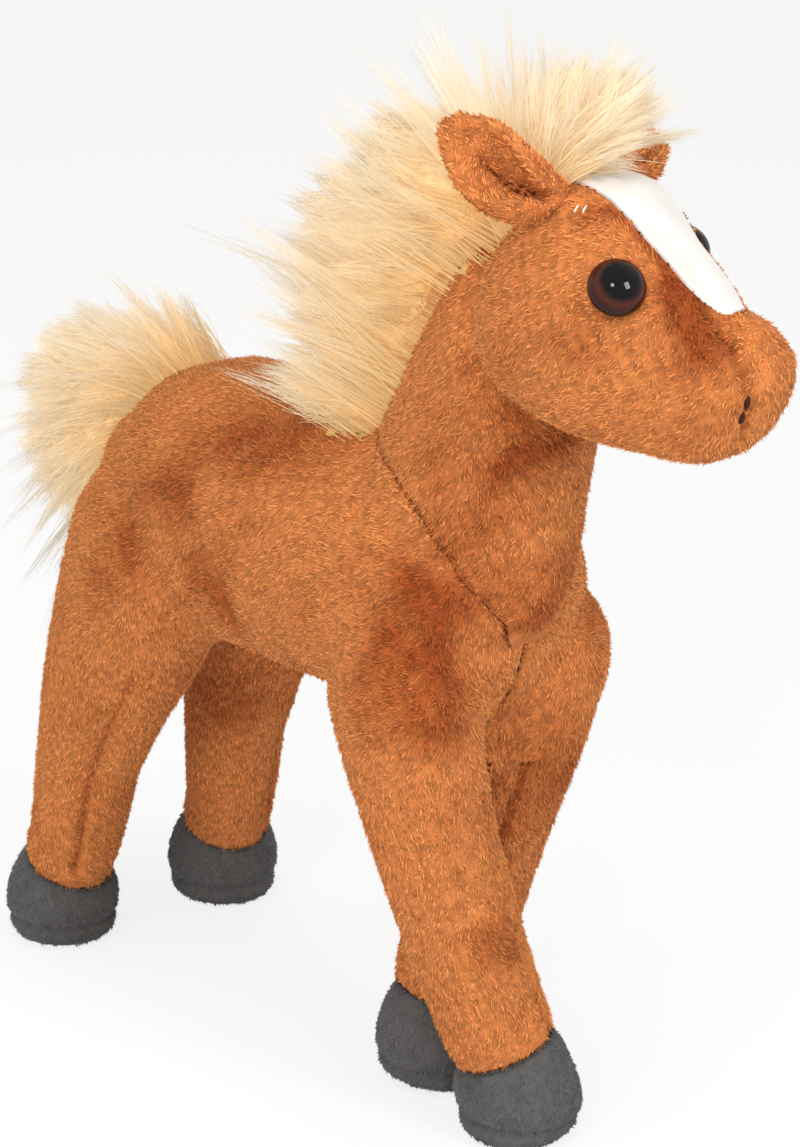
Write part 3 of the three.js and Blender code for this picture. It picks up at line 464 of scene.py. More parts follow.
# Added to a seam's distance: its groove is shallower
shallower = {"neck": 1.5, "chest": 1.3, "back": 0.4, "blaze": 2.6, "ankle": 0.8, "sole": 0.5}


def mirrored(points):  # both sides of the toy at once
    return np.stack([points[:, 0], np.abs(points[:, 1] - middleY), points[:, 2]], 1)


def past(values, limit):
    return np.maximum(0, values - limit)


def shortOf(values, limit):
    return np.maximum(0, limit - values)


def bodySeamDistance(points):
    x, z = points[:, 0], points[:, 2]
    side = mirrored(points)[:, 1]
    flat = points[:, [0, 2]]
    onNeck = lineDistance(flat, neckSeam[1:])
    onChest = np.hypot(side, past(z, chestSeam["top"]) + shortOf(x, chestSeam["behind"]))
    onBack = np.hypot(side, past(x, backSeam["front"]) + shortOf(z, backSeam["below"]))
    outside = shortOf(x, bellySeam["rear"]) + past(x, bellySeam["front"]) + past(z, bellySeam["top"])
    onBelly = np.hypot(side - bellySeam["half"], outside)
    onDart = lineDistance(flat, hipDart) * dartSizes["spread"]
    onDart = onDart + dartSizes["fade"] * shortOf(side, dartSizes["inward"])
    return np.minimum.reduce([
        onNeck + shallower["neck"], onChest + shallower["chest"], onBack + shallower["back"], onBelly,
        onDart])


def headSeamDistance(points):
    local = inHead(points)
    side = np.stack([local[:, 0], np.abs(local[:, 1]), local[:, 2]], 1)
    near, far = (lineDistance(side[:, :2], outline) for outline in (blazeNear, blazeFar))
    onBlaze = np.where(local[:, 2] > blazeBottom, np.where(local[:, 1] < 0, near, far), np.inf)
    return np.minimum.reduce([
        onBlaze + shallower["blaze"], lineDistance(side, muzzleSeam), lineDistance(side, chinSeam)])


def pressSeams(obj, distanceTo, depth=groove["depth"], width=groove["width"]):
    points, normals = pointsOf(obj), normalsOf(obj)
    away = distanceTo(points) / width
    pull = np.exp(-away ** 2) + groove["hollow"] * np.exp(-(away / groove["hollowWidth"]) ** 2)
    setPoints(obj, points - normals * (depth * pull)[:, None])


puff = {
    "voxel": 5.0, "pressure": 36.0, "frames": 20, "hold": 5.0, "legsFrom": 128, "legsAll": 113,
    "neighbours": 6, "softness": 1.5, "mostTorso": 2.0, "mostHead": 1.0,  # most: mm that the skin may move
}


def puffUp(skin, distanceTo, most):  # the stuffing pushes the cloth out between the seams that hold it
    trial = copyOf(skin, "clothTrial")
    remesh(trial, puff["voxel"])
    rest = pointsOf(trial)
    bySeam = np.exp(-(distanceTo(rest) / puff["hold"]) ** 2)
    held = np.maximum(bySeam, ramp(rest[:, 2], puff["legsFrom"], puff["legsAll"]))
    group = trial.vertex_groups.new(name="seams")
    for i, weight in enumerate(held):
        group.add([i], float(weight), "REPLACE")
    pick(trial)
    bpy.ops.object.modifier_add(type="CLOTH")
    cloth = trial.modifiers[-1]
    cloth.settings.use_pressure = True
    cloth.settings.uniform_pressure_force = puff["pressure"]
    cloth.settings.vertex_group_mass = "seams"
    cloth.settings.effector_weights.gravity = 0
    cloth.point_cache.frame_end = puff["frames"]
    for number in range(1, puff["frames"] + 1):
        bpy.context.scene.frame_set(number)
    bpy.ops.object.modifier_apply(modifier=cloth.name)
    moved = pointsOf(trial) - rest
    bpy.context.scene.frame_set(1)
    discard(trial)
    far = np.linalg.norm(moved, axis=1, keepdims=True)
    print("  cloth moved", len(rest), "points by up to", round(float(far.max()), 2), "mm")
    moved = moved * np.minimum(1, most / np.maximum(far, 1e-6)) * (1 - held)[:, None]
    near = KDTree(len(rest))
    for i, point in enumerate(rest):
        near.insert(point, i)
    near.balance()
    points = pointsOf(skin)
    for k, point in enumerate(points):
        found = near.find_n(point, puff["neighbours"])
        weights = np.array([1 / (distance + puff["softness"]) ** 2 for _, _, distance in found])
        points[k] += (weights[:, None] * moved[[i for _, i, _ in found]]).sum(0) / weights.sum()
    setPoints(skin, points)


# Skins: the stuffings grown to the cloth's outside, with the hollows between them closed

skinSizes = {"inset": 2.1, "closing": 4.0, "voxel": 2.0, "fineVoxel": 1.4, "capGap": 0.35}


def growSkin(obj, closing, voxel=skinSizes["voxel"], fineVoxel=skinSizes["fineVoxel"], rounds=4):
    remesh(obj, voxel)
    swell(obj, skinSizes["inset"] + closing)
    remesh(obj, voxel)
    smooth(obj, 3)
    if closing:
        swell(obj, -closing)
    remesh(obj, fineVoxel)
    smooth(obj, rounds)
    return obj


def markCaps(piece, skinTree):  # no pile on inner faces, and the fur's own backing under the fur
    piece.data.materials.append(piece.data.materials[0])
    piece.data.materials.append(furBacking)
    for face in piece.data.polygons:
        place, _, _, _ = skinTree.find_nearest(face.center)
        isCap = (face.center - place).length > skinSizes["capGap"] * mm
        underFur = furTree.find(face.center)[2] < furReach * mm
        face.material_index = 1 if isCap else 2 if underFur else 0


print("stage: torso and neck skin")
legNames = ["front_right", "front_left", "hind_right", "hind_left"]
legSizes = {  # heights above the floor in mm; from meetsFrom up, a leg's skin runs over into the torso's
    "torsoEnd": 100, "top": 100.5, "stub": 92.5, "meetsFrom": 91.5, "meetsAll": 98.5, "floor": 0.4,
    "slab": 5, "seams": range(8, 112, 6), "ankle": 26, "ankleLine": (44, 24), "hoofBelow": 2, "hoofLap": 1,
    "soleSeam": 6.5, "voxel": 1.8, "fineVoxel": 1.3,
}
stubs = []
for leg in legNames:
    stub = copyOfNodes(f"stub_{leg}", f"{leg}_leg_stuffing")
    slicePlane(stub, (0, 0, legSizes["stub"]), (0, 0, 1))
    stubs.append(stub)
neckPlug = {"middle": (99, middleY, 232), "size": (23, 21, 21)}  # fills the throat, under the head
bpy.ops.mesh.primitive_uv_sphere_add(
    segments=24, ring_count=16, radius=mm, location=Vector(neckPlug["middle"]) * mm,
    rotation=(0, 0, headFrame.to_euler().z), scale=neckPlug["size"])
plug = bpy.context.view_layer.objects.active
applyPlace(plug)
torsoSkin = joined("torsoSkin", copyOfNodes("core", "body_stuffing", "neck_stuffing"), plug, *stubs)
growSkin(torsoSkin, skinSizes["closing"])
puffUp(torsoSkin, bodySeamDistance, puff["mostTorso"])
torsoTree = treeOf(torsoSkin)
print("  torso skin vertices", len(torsoSkin.data.vertices))


def legCentre(leg, z):  # middle of the leg at a height, from the stuffing's own points
    points = legPoints[leg]
    near = points[np.abs(points[:, 2] - z) < legSizes["slab"], :2]
    return np.array([*((near.min(0) + near.max(0)) / 2), z])


print("stage: leg skins")
legSkins, legPoints, legSeams = {}, {}, {}
legSeamTurn = {"front": 35, "hind": -26}  # degrees from straight ahead towards the inside of the leg
seenSeams = {  # x, y and z of the seams that can be seen on the near legs
    "front_right": [
        (79.4, -18.9, 140), (80.9, -17.4, 127.7), (78.9, -12, 109), (81.2, -6.8, 82.7), (85.8, -3.5, 60.3),
        (90.1, 0, 40.3), (92.2, 2.9, 31.2),
    ],
    "hind_right": [
        (-35, -29.3, 108), (-46.2, -33.7, 95), (-59.5, -33.8, 75.5), (-68.9, -33.3, 56.4),
        (-75, -33.5, 35), (-78, -33.5, 26.8),
    ],
}
for leg in legNames:
    skin = growSkin(copyOfNodes(f"skin_{leg}", f"{leg}_leg_stuffing"), 0,
                    voxel=legSizes["voxel"], fineVoxel=legSizes["fineVoxel"], rounds=3)
    points = pointsOf(skin)
    legPoints[leg] = points.copy()
    tree = treeOf(skin)
    weight = ramp(points[:, 2], legSizes["meetsFrom"], legSizes["meetsAll"])
    for i in np.nonzero(weight > 0)[0]:  # its top follows the torso skin, so that the two meet
        place, _, _, _ = torsoTree.find_nearest(Vector(points[i]) * mm)
        points[i] += (np.array(place) / mm - points[i]) * weight[i]
    points[:, 2] = np.maximum(points[:, 2], legSizes["floor"])
    setPoints(skin, points)
    inward = 1 if leg.endswith("right") else -1
    seams = []
    for turn in (0, 180):
        angle = math.radians(legSeamTurn[leg.split("_")[0]] + turn)
        way = (math.cos(angle), inward * math.sin(angle), 0)
        found = [surfacePoint(tree, legCentre(leg, z), way) for z in legSizes["seams"]]
        seams.append([hit[0] for hit in found if hit])
    if leg in seenSeams:
        seams[0] = [np.array(tree.find_nearest(Vector(place) * mm)[0]) / mm for place in seenSeams[leg]]
    legSeams[leg] = seams
    legSkins[leg] = skin

print("stage: head skin")
foreheadShape = {  # in the head's own frame; pairs are where a change starts and where it is whole
    "normal": (0.67, 0.742), "level": 24.0, "arch": 2.0, "archMiddle": 17, "archHalf": 15,
    "crown": 2.6, "half": 17, "tilt": 0.2, "tiltAlong": (10, 22), "faceBack": (2, 10), "faceFront": (42, 36),
    "poll": [(-14, 29), (-8, 31.3), (0, 31.3), (5, 30.6), (10, 29.2), (14, 27)], "round": 0.013,
    "pollUp": (9, 18), "pollOut": (23, 17), "pollBack": (-17, -11), "pollFront": (14, 9),
}


def shapeForehead(points):  # a flat face between the poll and the nose, and a broad, full poll
    local = inHead(points)
    x, y, z = local.T
    wide, high = zip(*foreheadShape["poll"])
    top = np.interp(x, wide, high) - foreheadShape["round"] * y ** 2
    near = ramp(z, *foreheadShape["pollUp"]) * ramp(np.abs(y), *foreheadShape["pollOut"])
    near = near * ramp(x, *foreheadShape["pollBack"]) * ramp(x, *foreheadShape["pollFront"])
    z = z + np.maximum(0, top - z) * near
    across, up = foreheadShape["normal"]
    bow = 1 - ((x - foreheadShape["archMiddle"]) / foreheadShape["archHalf"]) ** 2
    level = foreheadShape["level"] + foreheadShape["arch"] * np.clip(bow, -1, 1)
    level = level + foreheadShape["crown"] * (1 - (y / foreheadShape["half"]) ** 2)
    level = level - foreheadShape["tilt"] * np.maximum(0, y) * ramp(x, *foreheadShape["tiltAlong"])
    over = np.maximum(0, across * x + up * z - level)
    over = over * ramp(x, *foreheadShape["faceFront"]) * ramp(x, *foreheadShape["faceBack"])
    return fromHead(np.stack([x - across * over, y, z - up * over], 1))


headSizes = {"closing": 8.0, "voxel": 1.8, "fineVoxel": 1.2}
headSkin = growSkin(copyOfNodes("headSkin", "head_stuffing"), headSizes["closing"],
                    voxel=headSizes["voxel"], fineVoxel=headSizes["fineVoxel"])
setPoints(headSkin, shapeForehead(pointsOf(headSkin)))
remesh(headSkin, headSizes["fineVoxel"])
smooth(headSkin, 5)
puffUp(headSkin, headSeamDistance, puff["mostHead"])
headTree = treeOf(headSkin)

# Pile: short three-sided tufts that lie along the way the cloth is combed

bodyPile = {"density": 2.0, "length": 1.7, "width": 0.72, "lean": 17, "spread": 15}
shortPile = {"density": 2.2, "length": 1.1, "width": 0.7, "lean": 26, "spread": 18}
tuft = {  # what all pile shares; swirl, curl, leaning and gather: an amount and the mm over which it changes
    "swirl": (34, 34), "curl": (20, 8), "brushedLean": 16, "leaning": (9, 4), "leanSpread": 7,
    "lengths": (0.7, 1.2), "widths": (0.75, 1.2), "clumpSize": 1.25, "clumpLength": (0.95, 0.25),
    "gather": (0.7, 2.0), "shorn": 0.8, "shornWidth": 1.3, "sunk": 0.25, "overFloor": 1.2, "facesFloor": -0.8,
    # The tint entries spread the tufts' tone at random and paint shade on the low parts of the clumps and
    # beside the seams; rootShade paints shade at the roots
    "toneAndShade": 0.52, "tintSpread": 0.22, "clumpAndSeamShade": 0.5, "rootShade": 0.12, "softRoot": (0.45, 0.9),
    "softTip": (0.8, 0.6),
}


def meshFromArrays(name, vertices, faces):  # faces all have the same number of corners
    mesh = bpy.data.meshes.new(name)
    sides = faces.shape[1]
    mesh.vertices.add(len(vertices))
    mesh.vertices.foreach_set("co", (vertices * mm).astype(np.float32).ravel())
    mesh.loops.add(faces.size)
    mesh.loops.foreach_set("vertex_index", faces.astype(np.int32).ravel())
    mesh.polygons.add(len(faces))
    mesh.polygons.foreach_set("loop_start", np.arange(0, faces.size, sides, dtype=np.int32))
    mesh.polygons.foreach_set("use_smooth", np.ones(len(faces), bool))
    mesh.update(calc_edges=True)
    mesh.validate()
    obj = bpy.data.objects.new(name, mesh)
    bpy.context.collection.objects.link(obj)
    return obj


def scatterOn(obj, amount, seeds, perArea=False):  # points spread over the outer faces
    mesh = obj.data
    mesh.calc_loop_triangles()
    count = len(mesh.loop_triangles)
    corners, faces = np.zeros(count * 3, np.int32), np.zeros(count, np.int32)
    mesh.loop_triangles.foreach_get("vertices", corners)
    mesh.loop_triangles.foreach_get("polygon_index", faces)
    inner = np.zeros(len(mesh.polygons), np.int32)
    mesh.polygons.foreach_get("material_index", inner)
    corners = corners.reshape(-1, 3)[inner[faces] == 0]
    points, normals = pointsOf(obj), normalsOf(obj)
    a, b, c = (points[corners[:, k]] for k in range(3))
    area = np.linalg.norm(np.cross(b - a, c - a), axis=1) / 2
    total = int(area.sum() * amount) if perArea else amount
    chosen = seeds.choice(len(area), total, p=area / area.sum())
    u, v = seeds.random((2, total))
    flip = u + v > 1
    u, v = np.where(flip, 1 - u, u), np.where(flip, 1 - v, v)
    w = 1 - u - v
    root = a[chosen] * w[:, None] + b[chosen] * u[:, None] + c[chosen] * v[:, None]
    na, nb, nc = (normals[corners[chosen, k]] for k in range(3))
    return root, unit(na * w[:, None] + nb * u[:, None] + nc * v[:, None])


def growPile(name, skin, pile, comb, distanceTo, material):
    root, normal = scatterOn(skin, pile["density"], rng, perArea=True)
    offFloor = (root[:, 2] > tuft["overFloor"]) | (normal[:, 2] > tuft["facesFloor"])
    root, normal = root[offFloor], normal[offFloor]
    total = len(root)
    along = unit(flattened(comb(root), normal))
    across = np.cross(normal, along)
    swirl, swirlSize = tuft["swirl"]
    curl, curlSize = tuft["curl"]
    leaning, leanSize = tuft["leaning"]
    turn = swirl * wobble(root, swirlSize, 41) + curl * wobble(root, curlSize, 42)
    turn = np.radians(turn + rng.normal(0, pile["spread"], total))[:, None]
    along = along * np.cos(turn) + across * np.sin(turn)
    across = np.cross(normal, along)
    # the patches of painted shade; where the pile is brushed the tufts also lean further
    brushedShade = brushedShadeAt(root)
    lean = pile["lean"] + tuft["brushedLean"] * brushedShade + leaning * wobble(root, leanSize, 43)
    lean = np.radians(lean + rng.normal(0, tuft["leanSpread"], total))[:, None]
    length = pile["length"] * rng.uniform(*tuft["lengths"], total)
    bySeam = np.exp(-(distanceTo(root) / tuft["shornWidth"]) ** 2)
    clump = wobble(root, tuft["clumpSize"], 47)
    even, more = tuft["clumpLength"]
    length = length * (1 - tuft["shorn"] * bySeam) * (even + more * clump)
    pull, pullSize = tuft["gather"]
    gather = np.stack([wobble(root, pullSize, seed) for seed in (44, 45, 46)], 1) * pull
    tip = root + (along * np.cos(lean) + normal * np.sin(lean)) * length[:, None] + flattened(gather, normal)
    half = pile["width"] * rng.uniform(*tuft["widths"], total)[:, None] / 2
    ring = [root + half * (math.cos(t) * along + math.sin(t) * across) - tuft["sunk"] * normal
            for t in (math.pi, -math.pi / 3, math.pi / 3)]
    vertices = np.stack([*ring, tip], 1).reshape(-1, 3)
    base = np.arange(total)[:, None] * 4
    corners = ((0, 1, 3), (1, 2, 3), (2, 0, 3), (0, 2, 1))
    triangles = np.concatenate([base + k for k in corners], 1).reshape(-1, 3)
    obj = meshFromArrays(name, vertices, triangles)
    # painted shade: tufts in the low parts of the clumps and beside the seams get a darker tint
    toneAndShade = tuft["toneAndShade"] + tuft["tintSpread"] * rng.normal(size=total) + tuft["clumpAndSeamShade"] * (clump - bySeam)
    (rootUp, rootOut), (tipUp, tipAlong) = tuft["softRoot"], tuft["softTip"]
    outward = [rootUp * normal + rootOut * unit(v - root) for v in ring] + [tipUp * normal + tipAlong * along]
    outward = unit(np.stack(outward, 1).reshape(-1, 3))
    obj.data.normals_split_custom_set_from_vertices(outward)  # soft as a lock of fibres
    # painted shade: the root corners of each tuft are darkened, its tip is not
    setAttribute(obj.data, "tip", np.tile([tuft["rootShade"]] * 3 + [1.0], total))
    setAttribute(obj.data, "toneAndShade", np.repeat(np.clip(toneAndShade, 0, 1), 4))
    setAttribute(obj.data, "brushedShade", np.repeat(brushedShade, 4))
    obj.data.materials.append(material)
    print("  pile", name, total, "tufts")
    return obj


# The cloth under the pile takes painted shade: its tip of 0.35 mixes much of the root colour into it
clothLook = {"tip": 0.35, "toneAndShade": 0.5, "tintSpread": 0.3, "tintSize": 3}


def dressSkin(obj, material):  # attributes that the plush material reads
    points = pointsOf(obj)
    # the same patches of painted shade on the cloth under the pile
    setAttribute(obj.data, "brushedShade", brushedShadeAt(points))
    setAttribute(obj.data, "tip", np.full(len(points), clothLook["tip"]))
    toneAndShade = clothLook["toneAndShade"] + clothLook["tintSpread"] * wobble(points, clothLook["tintSize"], 48)
    setAttribute(obj.data, "toneAndShade", toneAndShade)
    obj.data.materials.clear()
    obj.data.materials.append(material)


def finishSkin(obj, skinTree, distanceTo, material, depth=groove["depth"]):
    dressSkin(obj, material)
    markCaps(obj, skinTree)
    pressSeams(obj, distanceTo, depth)
    smoothShade(obj)


tuck = {"depth": 2.4, "reach": 4.5, "above": 190}


def tuckUnder(obj, overTree):  # a crease where this skin goes under another
    points, normals = pointsOf(obj), normalsOf(obj)
    away = np.full(len(points), np.inf)
    for i in np.nonzero(points[:, 2] > tuck["above"])[0]:
        place, normal, _, distance = overTree.find_nearest(Vector(points[i]) * mm)
        outside = (Vector(points[i]) * mm - place).dot(normal) > 0
        away[i] = distance / mm if outside else 0
    setPoints(obj, points - normals * (tuck["depth"] * np.exp(-(away / tuck["reach"]) ** 2))[:, None])


# The ways in which the pile lies; what is added on the neck and the hips; and where the changes start and end
ways = {
    "body": (-1.0, 0, -0.5), "addedOnNeck": (0.7, 0, -0.8), "addedOnHips": (0.9, 0, -1.5),
    "leg": (0.12, 0.0, -1.0), "cheek": (-1.0, 0, -0.45), "muzzle": (-0.45, 0, -1.0),
}
wayHeights = {"neck": (165, 190), "neckAhead": 30, "hips": (125, 105), "muzzle": (22, 38)}


def combBody(points):  # back along the body, down the neck and the legs
    onNeck = ramp(points[:, 2], *wayHeights["neck"]) * (points[:, 0] > wayHeights["neckAhead"])
    onHips = ramp(points[:, 2], *wayHeights["hips"])
    return ways["body"] + np.outer(onNeck, ways["addedOnNeck"]) + np.outer(onHips, ways["addedOnHips"])


def combLeg(points):
    return np.tile(ways["leg"], (len(points), 1))


def combHead(points):
    onMuzzle = ramp(inHead(points)[:, 0], *wayHeights["muzzle"])
    direction = np.outer(1 - onMuzzle, ways["cheek"]) + np.outer(onMuzzle, ways["muzzle"])
    return direction @ headArray[:3, :3].T


# Long fur: clumps of tapering three-sided hairs that come to a point

print("stage: fur")
furRoots = []
hair = {
    "widths": (0.7, 1.2), "bowTurns": (5, 4), "taper": 0.75, "taperPower": 1.5, "softSide": 0.55,
    "softTip": 0.4,
}


def hairMesh(name, ends, fur, seeds, along, toneAndShade, outside):  # ends: root, bend and tip of each hair
    p0, p1, p2 = ends
    total, rings = len(p0), fur["rings"]
    axis = unit(p2 - p0)
    first = unit(np.cross(axis, unit(seeds.normal(size=(total, 3)))))
    second = np.cross(axis, first)
    turn = seeds.uniform(0, 2 * math.pi, (total, 2))
    radius = fur["radius"] * seeds.uniform(*hair["widths"], total)[:, None]
    rows, facing = [], []
    for k in range(rings + 1):
        t = k / rings
        bow = [np.sin(turn[:, 0] + hair["bowTurns"][0] * t), np.cos(turn[:, 1] + hair["bowTurns"][1] * t)]
        bow = fur["wave"] * t * np.stack(bow, 1)
        centre = (1 - t) ** 2 * p0 + 2 * t * (1 - t) * p1 + t * t * p2
        centre = centre + first * bow[:, :1] + second * bow[:, 1:]
        if k == rings:
            rows.append(centre[:, None])
            facing.append((outside + hair["softTip"] * axis)[:, None])
            break
        r = radius * (1 - hair["taper"] * t ** hair["taperPower"])
        ring = [math.cos(q) * first + math.sin(q) * second for q in (0, 2 * math.pi / 3, 4 * math.pi / 3)]
        rows.append(np.stack([centre + r * way for way in ring], 1))
        facing.append(np.stack([outside + hair["softSide"] * way for way in ring], 1))
    vertices = np.concatenate(rows, 1)
    each = vertices.shape[1]
    faces = [(2, 1, 0)]
    for k in range(rings - 1):
        for i in range(3):
            a, b, c, d = 3 * k + i, 3 * k + (i + 1) % 3, 3 * k + 3 + (i + 1) % 3, 3 * k + 3 + i
            faces += [(a, b, c), (a, c, d)]
    faces += [(each - 4 + i, each - 4 + (i + 1) % 3, each - 1) for i in range(3)]
    faces = (np.arange(total)[:, None, None] * each + np.array(faces)).reshape(-1, 3)
    obj = meshFromArrays(name, vertices.reshape(-1, 3), faces)
    facing = unit(np.concatenate(facing, 1).reshape(-1, 3))
    obj.data.normals_split_custom_set_from_vertices(facing)  # soft as a mass
    share = np.array([k / rings for k in range(rings) for _ in range(3)] + [1.0])
    low, high = along
    setAttribute(obj.data, "along", (low[:, None] + (high - low)[:, None] * share[None]).ravel())
    setAttribute(obj.data, "toneAndShade", np.repeat(np.clip(toneAndShade, 0, 1), each))
    obj.data.materials.append(creamFur)
    print("  fur", name, total, "hairs", len(faces), "triangles")
    return obj


lock = {  # sideShort: how much shorter the outer locks are; bend: where a hair turns, along its length
    "sideShort": 0.18, "own": (0.94, 0.09), "ownLimits": (0.55, 1.06), "sunk": 0.8, "gather": 0.75,
    "bend": 0.42, "liftSpread": 0.3, "liftLimits": (0.3, 1.8), "clumpTint": 0.2, "hairTint": 0.18, "up": 0.5,
    "pale": (0.1, 0.3, 0.7),
}


def growLocks(name, guides, fur, skinTree, place):  # long locks that start on the skin
    seeds = np.random.default_rng(fur["seed"])
    guides = np.array(guides, float)  # each: root and tip, as x and z in the middle plane
    clumps, per = fur["clumps"], fur["hairs"]
    total = clumps * per
    at = seeds.uniform(0, len(guides) - 1, clumps)
    low = np.minimum(at.astype(int), len(guides) - 2)
    share = (at - low)[:, None, None]
    path = guides[low] * (1 - share) + guides[low + 1] * share
    side = seeds.uniform(-1, 1, clumps)
    root = np.stack([path[:, 0, 0], side * fur["halfRoot"], path[:, 0, 1]], 1)
    root[:, [0, 2]] += np.array(fur["sideShift"]) * (side ** 2)[:, None]
    tip = np.stack([path[:, 1, 0], side * fur["halfTip"], path[:, 1, 1]], 1)
    tip = tip + seeds.normal(0, 1, (clumps, 3)) * fur["clumpSpread"]
    root, tip = place(root), place(tip)
    normal = np.zeros((clumps, 3))
    for i in range(clumps):
        spot, facing, _, _ = skinTree.find_nearest(Vector(root[i]) * mm)
        root[i], normal[i] = np.array(spot) / mm, np.array(facing)
    reach = seeds.uniform(*fur["reach"], clumps) * (1 - lock["sideShort"] * side ** 2)
    tip = root + (tip - root) * reach[:, None]
    furRoots.append(root)
    root, tip, normal, side, reach = (np.repeat(v, per, 0) for v in (root, tip, normal, side, reach))
    scatter = flattened(seeds.normal(0, fur["rootSpread"], (total, 3)), normal)
    stray = np.where(seeds.random(total) < fur["stray"], fur["strayTip"], fur["tipSpread"])[:, None]
    own = np.clip(seeds.normal(*lock["own"], total), *lock["ownLimits"])[:, None]
    p0 = root + scatter - lock["sunk"] * normal
    p2 = p0 + (tip + stray * seeds.normal(0, 1, (total, 3)) - root) * own - scatter * lock["gather"]
    p2[:, 2] = np.minimum(p2[:, 2], highest)
    lift = fur["lift"] * np.clip(seeds.normal(1, lock["liftSpread"], total), *lock["liftLimits"])[:, None]
    p1 = p0 + lock["bend"] * (p2 - p0) + normal * lift
    toneAndShade = np.repeat(seeds.normal(0.5, lock["clumpTint"], clumps), per)
    toneAndShade = toneAndShade + seeds.normal(0, lock["hairTint"], total)
    outside = unit(normal) + np.array([0, 0, lock["up"]])
    outside[:, 1] += side
    low, most, share = lock["pale"]
    along = (np.full(total, low), most + share * reach)
    return hairMesh(name, (p0, p1, p2), fur, seeds, along, toneAndShade, unit(outside))


combing = {  # sharp and broad: how near a guide has to be, in mm; the rest spaces the streaks
    "sharp": 5, "broad": 14, "broadShare": 0.02, "beyond": 1.2, "fan": 0.016, "guideStep": 6,
    "spreading": 0.03, "stretch": 0.07,
}


def flowAt(points, guides, toPlane, turned):  # the way the fur lies, how far along, and the place on the comb
    local = toPlane(points)
    guides = np.array(guides, float)
    start, way = guides[:, 0], guides[:, 1] - guides[:, 0]
    long = np.linalg.norm(way, axis=1)
    flat = local[:, None, [0, 2]] - start[None]
    share = np.clip((flat * way[None]).sum(2) / (long ** 2), 0, combing["beyond"])
    away = np.linalg.norm(flat - np.clip(share, 0, 1)[..., None] * way[None], axis=2)
    weight = np.exp(-(away / combing["sharp"]) ** 2)
    weight += np.exp(-(away / combing["broad"]) ** 2) * combing["broadShare"] + 1e-9
    weight /= weight.sum(1, keepdims=True)
    flow = (weight[..., None] * (way / long[:, None])[None]).sum(1)
    number = (weight * np.arange(len(guides))[None]).sum(1)
    along = (weight * share * long[None]).sum(1)
    share = (weight * share).sum(1)
    flow = np.stack([flow[:, 0], combing["fan"] * local[:, 1], flow[:, 1]], 1)
    across = number * combing["guideStep"] + combing["spreading"] * along * number
    comb = np.stack([across, local[:, 1], combing["stretch"] * along], 1)
    return unit(unit(flow) @ turned.T), share, comb


coat = {
    "seedStep": 50, "outward": 0.18, "tipShort": 0.2, "own": (0.92, 0.12), "ownLimits": (0.5, 1.1),
    "sunk": 0.7, "gather": 0.78, "tipSpread": 0.35, "bend": 0.45, "lift": (0.9, 0.4),
    "liftLimits": (0.1, 2.2), "clumpTint": 0.22, "hairTint": 0.16, "pale": (0.1, 0.5, 0.45),
}


def growCoat(name, core, guides, fur, toPlane, turned):  # short locks that lie on the fur's dense core
    seeds = np.random.default_rng(fur["seed"] + coat["seedStep"])
    clumps, per = fur["coatClumps"], fur["coatHairs"]
    total = clumps * per
    root, normal = scatterOn(core, clumps, seeds)
    flow, share, _ = flowAt(root, guides, toPlane, turned)
    flow = unit(flow + coat["outward"] * normal + seeds.normal(0, fur["unruly"], (clumps, 3)))
    length = seeds.uniform(*fur["coatLength"], clumps) * (1 - coat["tipShort"] * np.clip(share, 0, 1))
    tip = root + flow * length[:, None]
    root, tip, normal, share = (np.repeat(v, per, 0) for v in (root, tip, normal, share))
    scatter = flattened(seeds.normal(0, fur["rootSpread"], (total, 3)), normal)
    own = np.clip(seeds.normal(*coat["own"], total), *coat["ownLimits"])[:, None]
    p0 = root + scatter - coat["sunk"] * normal
    p2 = p0 + (tip - root) * own - scatter * coat["gather"]
    p2 = p2 + seeds.normal(0, coat["tipSpread"], (total, 3))
    lift = np.clip(seeds.normal(*coat["lift"], total), *coat["liftLimits"])[:, None]
    p1 = p0 + coat["bend"] * (p2 - p0) + normal * lift
    toneAndShade = np.repeat(seeds.normal(0.5, coat["clumpTint"], clumps), per)
    toneAndShade = toneAndShade + seeds.normal(0, coat["hairTint"], total)
    start, rise, more = coat["pale"]
    low = np.clip(start + rise * share, 0, 1)
    return hairMesh(name, (p0, p1, p2), fur, seeds, (low, np.clip(low + more, 0, 1)), toneAndShade, unit(normal))


coreSizes = {
    "voxel": 2.0, "fineVoxel": 1.1, "rounds": 8, "ridges": (1.0, 5.0), "fineRidges": (0.55, 2.2),
    "atRoots": 0.3, "pale": (0.1, 0.62, 0.1), "toneAndShade": (0.5, 0.3),
}


def furCore(name, node, shrink, shape, guides, toPlane, turned):  # the fur's dense mass, with combed ridges
    core = copyOfNodes(name, node)
    remesh(core, coreSizes["voxel"])
    swell(core, -shrink)
    if shape:
        setPoints(core, shape(pointsOf(core)))
    remesh(core, coreSizes["fineVoxel"])
    smooth(core, coreSizes["rounds"])
    points, normals = pointsOf(core), normalsOf(core)
    _, share, comb = flowAt(points, guides, toPlane, turned)
    (high, size), (fineHigh, fineSize) = coreSizes["ridges"], coreSizes["fineRidges"]
    ridges = high * wobble(comb, size, 61) + fineHigh * wobble(comb, fineSize, 62)
    setPoints(core, points + normals * (ridges * np.clip(coreSizes["atRoots"] + share, 0, 1))[:, None])
    # painted shade: the ridges are paler and brighter, the hollows between them deeper gold
    start, rise, ridgeShade = coreSizes["pale"]
    setAttribute(core.data, "along", np.clip(start + rise * share + ridgeShade * ridges, 0, 1))
    even, more = coreSizes["toneAndShade"]
    setAttribute(core.data, "toneAndShade", np.clip(even + more * ridges, 0, 1))
    setAttribute(core.data, "combed", comb * mm)
    core.data.materials.append(creamFur)
    smoothShade(core, 80)
    return core


